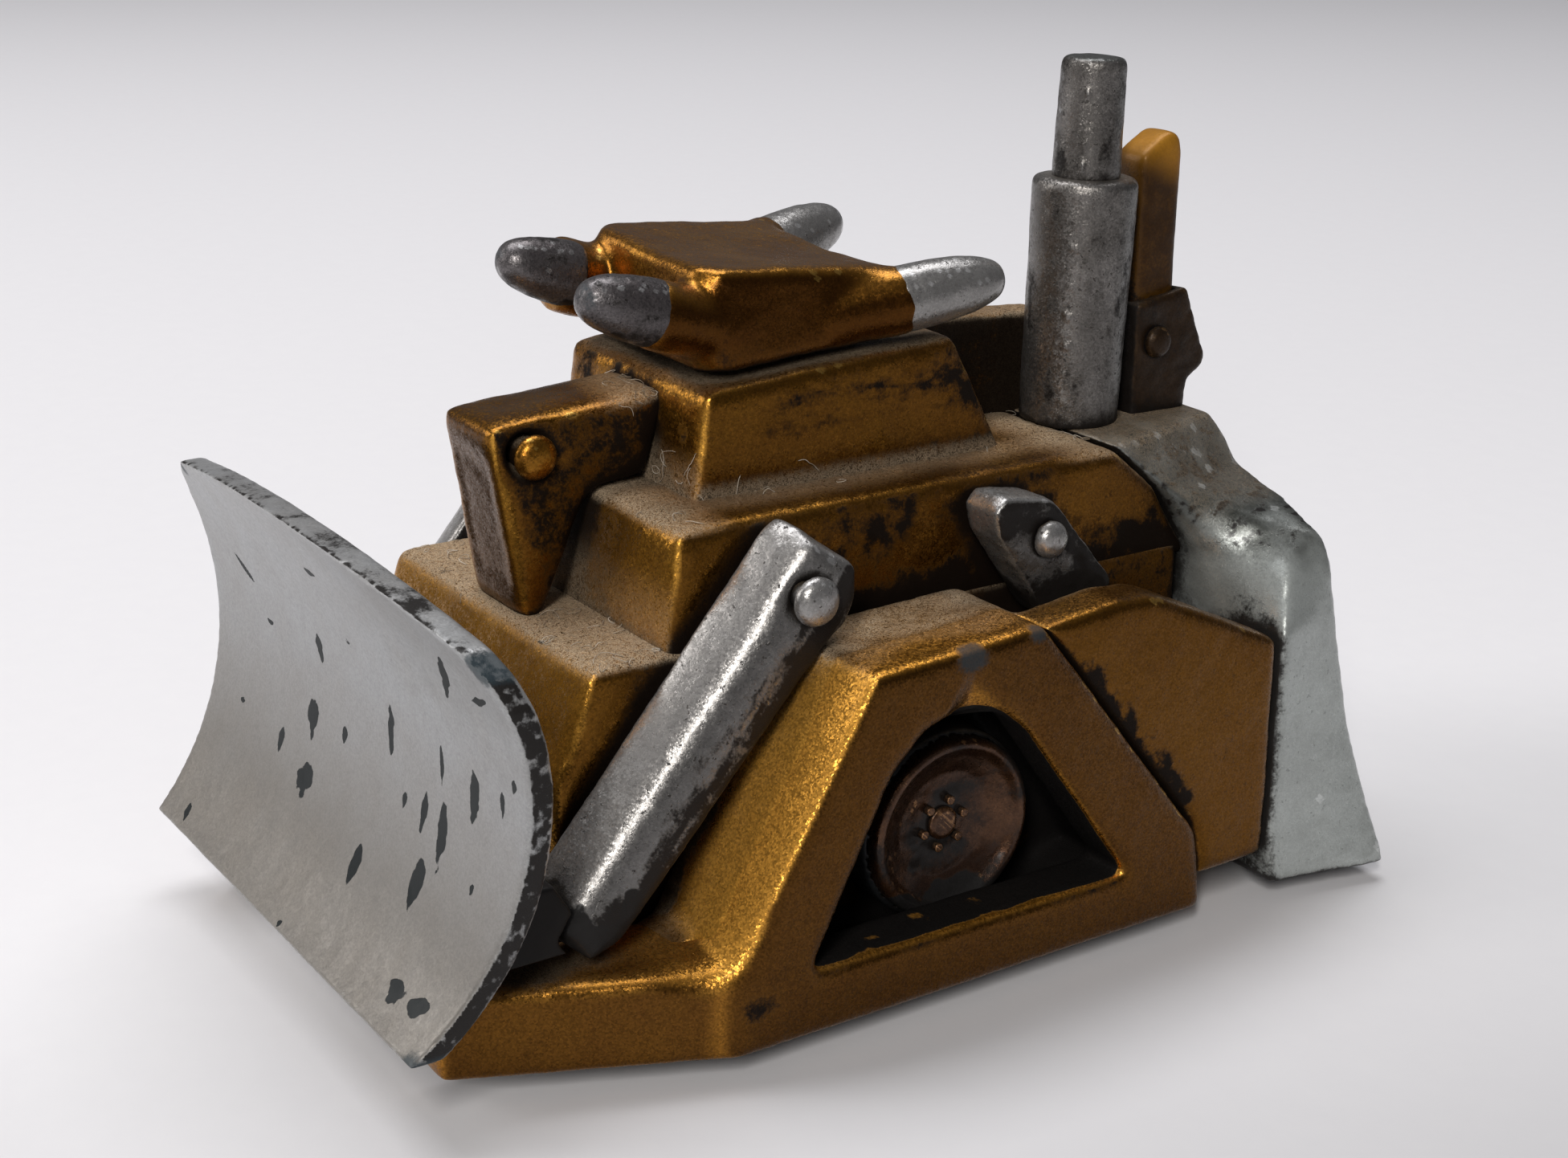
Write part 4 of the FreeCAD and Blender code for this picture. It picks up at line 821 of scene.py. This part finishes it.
def guard_build(node):
    """The guard with its front slope and top carried a little way under the outer frame."""
    me = cad_mesh(node)
    set_co(me, guard_pre(get_co(me), node))
    sg = 1.0 if node.endswith("left") else -1.0
    poly = [(-11.13, 4.78), (-5.0, 15.47), (-1.0, 15.63), (3.3, 15.95), (3.6, 14.6), (-4.3, 14.1), (-9.9, 4.6)]
    bm = bmesh.new()
    bm.from_mesh(me)
    a = [bm.verts.new((sg * 11.6, y, z)) for y, z in poly]
    b = [bm.verts.new((sg * 13.5, y, z)) for y, z in poly]
    f = [bm.faces.new(a), bm.faces.new(b[::-1])]
    n = len(poly)
    f += [bm.faces.new((a[i], b[i], b[(i + 1) % n], a[(i + 1) % n])) for i in range(n)]
    # the hollow where the slope runs into the foot
    poly = [(-12.38, 4.58), (-11.76, 4.66), (-11.18, 4.9), (-10.68, 5.28), (-10.3, 5.8), (-10.0, 4.3), (-12.38, 4.3)]
    a = [bm.verts.new((sg * 9.2, y, z)) for y, z in poly]
    b = [bm.verts.new((sg * 12.3, y, z)) for y, z in poly]
    n = len(poly)
    f += [bm.faces.new(a), bm.faces.new(b[::-1])]
    f += [bm.faces.new((a[i], b[i], b[(i + 1) % n], a[(i + 1) % n])) for i in range(n)]
    bmesh.ops.recalc_face_normals(bm, faces=f)
    bm.to_mesh(me)
    bm.free()
    return me


def arm_shape(co, me):
    """The upper face of a lift arm rises towards the hull."""
    no = get_normals(me)
    x = np.abs(co[:, 0])
    face = smoothstep(0.0, 0.5, -no[:, 1] * 0.77 + no[:, 2] * 0.64)
    k = 0.6 * smoothstep(12.0, 9.2, x) * smoothstep(4.5, 7.5, co[:, 2]) * smoothstep(21.0, 19.3, co[:, 2])
    side = co[:, 1] * 0.77 - co[:, 2] * 0.64
    lift = k * smoothstep(side.max() - 0.3, side.min() + 0.2, side)
    co[:, 1] -= 0.77 * lift
    co[:, 2] += 0.64 * lift
    side = co[:, 1] * 0.77 - co[:, 2] * 0.64
    edge = smoothstep(x.max() - 1.7, x.max() - 0.9, x) * smoothstep(side.min() + 2.4, side.min() + 1.3, side)
    return laplace(me, co, 320, 0.5, edge)


def nose_shape(co, me):
    no = get_normals(me)
    f = smoothstep(0.55, 0.9, -no[:, 1])
    m = blob(np.abs(co[:, 0]), 1.55, 1.0) * smoothstep(15.8, 17.0, co[:, 2]) * smoothstep(22.6, 21.3, co[:, 2])
    co[:, 1] += 0.15 * f * m
    return co


TILT = math.radians(4.17)


def from_turret(p):
    c, s_ = math.cos(TILT), math.sin(TILT)
    return (p[0], -1.6 + c * p[1] - s_ * p[2], 25.15 + s_ * p[1] + c * p[2])


SPIKES = {"front_left": ((3.62, -7.95, 27.54), (3.65, -11.0, 28.5), 1.42), "front_right": ((-3.62, -8.0, 27.56), (-3.65, -11.0, 28.5), 1.42),
          "rear_left": ((4.85, 3.75, 27.05), (6.05, 7.95, 27.75), 1.42), "rear_right": ((-4.85, 3.75, 27.05), (-6.05, 7.95, 27.75), 1.42)}


def turret_build():
    """Tapered slab with a sloping roof, and a flared root where each spike leaves a corner."""
    plan = [(-3.9, -4.35), (3.9, -4.35), (5.0, -3.6), (5.0, 3.4), (4.2, 4.35), (-4.2, 4.35), (-5.0, 3.4), (-5.0, -3.6)]
    bm = bmesh.new()
    low, high = [], []
    for x, y in plan:
        low.append(bm.verts.new(from_turret((x, y, 0.0))))
        ty = y + (1.0 if y > 3 else 0.0)
        zt = 3.65 - 0.159 * y - (0.06 if y > 3 else 0.0)
        k = 1 - 0.087 * zt / 4.6
        high.append(bm.verts.new(from_turret((x * k, ty * k, zt))))
    bm.faces.new(low[::-1])
    bm.faces.new(high)
    n = len(plan)
    for i in range(n):
        j = (i + 1) % n
        bm.faces.new((low[i], low[j], high[j], high[i]))
    for (ra, tip, r) in SPIKES.values():
        a, t = Vector(ra), Vector(tip)
        d = (t - a).normalized()
        rot = d.to_track_quat("Z", "Y").to_matrix().to_4x4()
        res = bmesh.ops.create_cone(bm, cap_ends=True, cap_tris=False, segments=40, radius1=0.98 * r, radius2=1.05 * r, depth=4.0)
        bmesh.ops.transform(bm, matrix=Matrix.Translation(a - d * 1.85) @ rot, verts=res["verts"])
    bmesh.ops.recalc_face_normals(bm, faces=bm.faces)
    me = bpy.data.meshes.new("tmp")
    bm.to_mesh(me)
    bm.free()
    return me


def spike_pre(co, node):
    """Slimmer at the front, and its foot sunk into the gold root."""
    ra, tip, r = SPIKES[node[6:]]
    a0 = np.array([ra[0] / abs(ra[0]) * (3.75 if "front" in node else 5.0), ra[1], ra[2]])
    d = np.array(tip) - a0
    d /= np.linalg.norm(d)
    s_ = (co - a0) @ d
    rad = co - a0 - s_[:, None] * d
    k = r / (1.66 if "front" in node else 1.49)
    long = np.linalg.norm(np.array(tip) - a0)
    have = np.linalg.norm(np.array(tip) - np.array(ra))
    s2 = np.where(s_ < 0.05, -0.55, s_ * have / long)
    return np.array(ra) + s2[:, None] * d + rad * k


def turret_shape(co, me):
    """The far side of the turret sits a little higher than the near one."""
    s = smoothstep(1.0, -6.0, co[:, 0])
    co[:, 2] += 0.5 * s * smoothstep(25.2, 28.5, co[:, 2] + 0.073 * co[:, 1])
    co[:, 0] -= 0.45 * s
    return co


def spike_shape(co, me):
    s = smoothstep(1.0, -6.0, co[:, 0])
    if co[:, 1].mean() < 0:
        co[:, 2] += 0.35 * s
        co[:, 0] += 0.1 * s
        co[:, 1] += 0.25 * s
    else:
        co[:, 2] += 0.42 * s
        co[:, 0] -= 0.4 * s
    return co


# ------------------------------------------------------------------ pieces
BY_SLOT = {"gold_paint": GOLD, "silver_paint": SILVER, "stack_metal": STACK, "ochre_post": OCHRE, "brown_bracket": BRACKET,
           "bare_plastic": BLACK, "copper_disc": COPPER, "axle_steel": STEEL}
SPECIAL = {"turret_body": GOLD_TURRET, "blade": SILVER_BLADE, "rear_skirt": SILVER_SKIRT,
           "side_frame_left": GOLD_FRAME, "side_frame_right": GOLD_FRAME, "spike_front_left": SPIKE,
           "spike_front_right": SPIKE}
# voxel size, smoothing rounds, lump, fine, how far the hidden foot is sunk into what carries it
FINE = {"idler_bolts": (0.03, 3, 0, 0, 0), "chassis_screws": (0.08, 4, 0, 0, 0), "nose_pin": (0.06, 26, 0.01, 0, 0),
        "lift_pin": (0.06, 14, 0.02, 0.01, 0), "strut_pin": (0.06, 14, 0.02, 0.01, 0), "post_pin": (0.06, 8, 0, 0, 0),
        "idler_hub": (0.05, 6, 0, 0, 0), "idler_disc": (0.07, 8, 0.015, 0.008, 0), "idler_tyre": (0.08, 4, 0, 0, 0),
        "axle": (0.1, 3, 0, 0, 0), "wheel": (0.1, 4, 0, 0, 0), "turret_peg": (0.12, 4, 0, 0, 0), "spike": (0.08, 26, 0.02, 0.01, 0),
        "stack": (0.1, 10, 0.015, 0.01, 0.2), "rear_post": (0.1, 60, 0.02, 0.004, 0), "post_bracket": (0.1, 24, 0.06, 0.02, 0.3),
        "blade_bracket": (0.12, 6, 0, 0, 0), "base_plate": (0.2, 3, 0, 0, 0), "blade": (0.1, 15, 0.012, 0.004, 0),
        "nose_block": (0.12, 170, 0.03, 0.008, 0.6), "superstructure": (0.13, 62, 0.03, 0.008, 0.9), "hull_upper": (0.14, 56, 0.03, 0.008, 0.8),
        "hull_lower": (0.14, 56, 0.03, 0.008, 0), "engine_cover": (0.12, 44, 0.03, 0.01, 0.8), "turret_body": (0.11, 64, 0.03, 0.006, 0),
        "side_frame": (0.13, 40, 0.02, 0.006, 0), "track_guard": (0.14, 34, 0.025, 0.008, 0), "rear_skirt": (0.15, 20, 0.03, 0.004, 0),
        "lift_arm": (0.11, 30, 0.02, 0.008, 0), "rear_strut": (0.1, 44, 0.04, 0.02, 0)}
def stack_shape(co, me):
    """A faint mould line with nicks down one side."""
    zc = co[:, 2] - 20.2
    cx, cy = 3.35, 14.25 + zc * 0.027
    ang = np.arctan2(co[:, 1] - cy, co[:, 0] - cx)
    off = (ang - math.radians(-49.0)) * 2.25
    nick = np.clip(vnoise(np.stack([np.zeros(len(co)), np.zeros(len(co)), co[:, 2] * 2.3], 1), 91), 0.05, 1) * blob(np.abs(off), 0.16, 0.3)
    nick += 0.6 * np.clip(vnoise(co * 3.4, 92), 0.35, 1) * blob(np.abs(off), 0.5, 0.9) - 0.2 * blob(np.abs(off), 0.5, 0.9)
    d = np.stack([np.cos(ang), np.sin(ang), 0 * ang], 1)
    return co + d * (0.075 * nick)[:, None]


SHAPES = {"side_frame": frame_shape, "turret_body": turret_shape, "spike": spike_shape, "lift_arm": arm_shape,
          "nose_block": nose_shape, "stack": stack_shape}
PRES = {"nose_block": nose_pre, "hull_upper": rear_pre, "engine_cover": rear_pre, "side_frame": frame_pre, "spike": spike_pre}
for node in sorted(NODES):
    key = next((k for k in sorted(FINE, key=len, reverse=True) if node.startswith(k)), None)
    size, rounds, lump, fine, sink = FINE.get(key, (0.13, 14, 0.02, 0.006, 0))
    cast(node, SPECIAL.get(node, BY_SLOT[SLOT[node]]), size=size, rounds=rounds, lump=lump, fine=fine, seed=3 + len(node),
         shape=SHAPES.get(key), pre=PRES.get(key), build=turret_build if node == "turret_body" else (lambda n=node: guard_build(n)) if key == "track_guard" else None, sink=sink)


def lint_material():
    t = Tree("lint_fibre")
    n = t.noise(0.9, 2.0, 0.6)
    t.set(color=t.mix(t.ramp(n, 0.35, 0.65), (0.30, 0.24, 0.17), (0.62, 0.55, 0.46)), rough=0.8)
    t.bsdf.inputs["Specular IOR Level"].default_value = 0.2
    return t.mat


LINT_FIBRE = lint_material()
for node, me in THREADS.items():
    place(me, node + "_lint", node, LINT_FIBRE, replaces=[""])


# ------------------------------------------------------------------ table and light
def make_stage():
    bm = bmesh.new()
    bmesh.ops.create_grid(bm, x_segments=60, y_segments=60, size=1.2)
    me = bpy.data.meshes.new("table")
    bm.to_mesh(me)
    bm.free()
    ob = bpy.data.objects.new("table", me)
    scene.collection.objects.link(ob)
    t = Tree("paper")
    n = t.noise(0.6, 4.0, 0.6)
    sx = t.t.nodes.new("ShaderNodeSeparateXYZ")
    t.t.links.new(t.mm, sx.inputs[0])
    # painted shade: the paper darkens towards +X and far to the right, standing in for the light falling off
    u = t.math("SUBTRACT", sx.outputs[0], t.math("MULTIPLY", sx.outputs[1], 0.15))
    painted_falloff_shade = t.math("SUBTRACT", t.ramp(u, -8.0, 12.0, 1.0, 0.88), t.ramp(u, 20.0, 42.0, 0.0, 0.22))
    t.set(color=t.vmath("SCALE", t.mix(n, (0.80, 0.79, 0.81), (0.83, 0.82, 0.835)), scale=painted_falloff_shade), rough=0.75)
    t.set(normal=t.bump(t.noise(2.5, 4.0, 0.6), 0.01 * MM, 0.5))
    me.materials.append(t.mat)


make_stage()


def area(name, pos, target, size, power, color=(1, 1, 1), shape="RECTANGLE", size_y=None):
    li = bpy.data.lights.new(name, "AREA")
    li.shape = shape
    li.size = size
    if size_y:
        li.size_y = size_y
    li.energy = power
    li.color = color
    ob = bpy.data.objects.new(name, li)
    scene.collection.objects.link(ob)
    p, q = Vector(pos), Vector(target)
    ob.location = p
    ob.rotation_euler = (q - p).to_track_quat("-Z", "Y").to_euler()
    return ob


area("sky", (-0.20, 0.02, 0.60), (0, 0, 0), 0.60, 2.7, (0.98, 0.98, 1.0))
area("key", (0.27, -0.27, 0.29), (0, 0, 0.012), 0.06, 1.35, (1.0, 0.975, 0.94))
area("side", (-0.35, -0.40, 0.25), (0, 0, 0.012), 0.25, 0.8, (1.0, 0.98, 0.96))
world = bpy.data.worlds.new("world")
world.use_nodes = True
bg = world.node_tree.nodes["Background"]
bg.inputs[0].default_value = (0.95, 0.95, 1.0, 1.0)
bg.inputs[1].default_value = 0.12
scene.world = world
scene.view_settings.view_transform = "Standard"
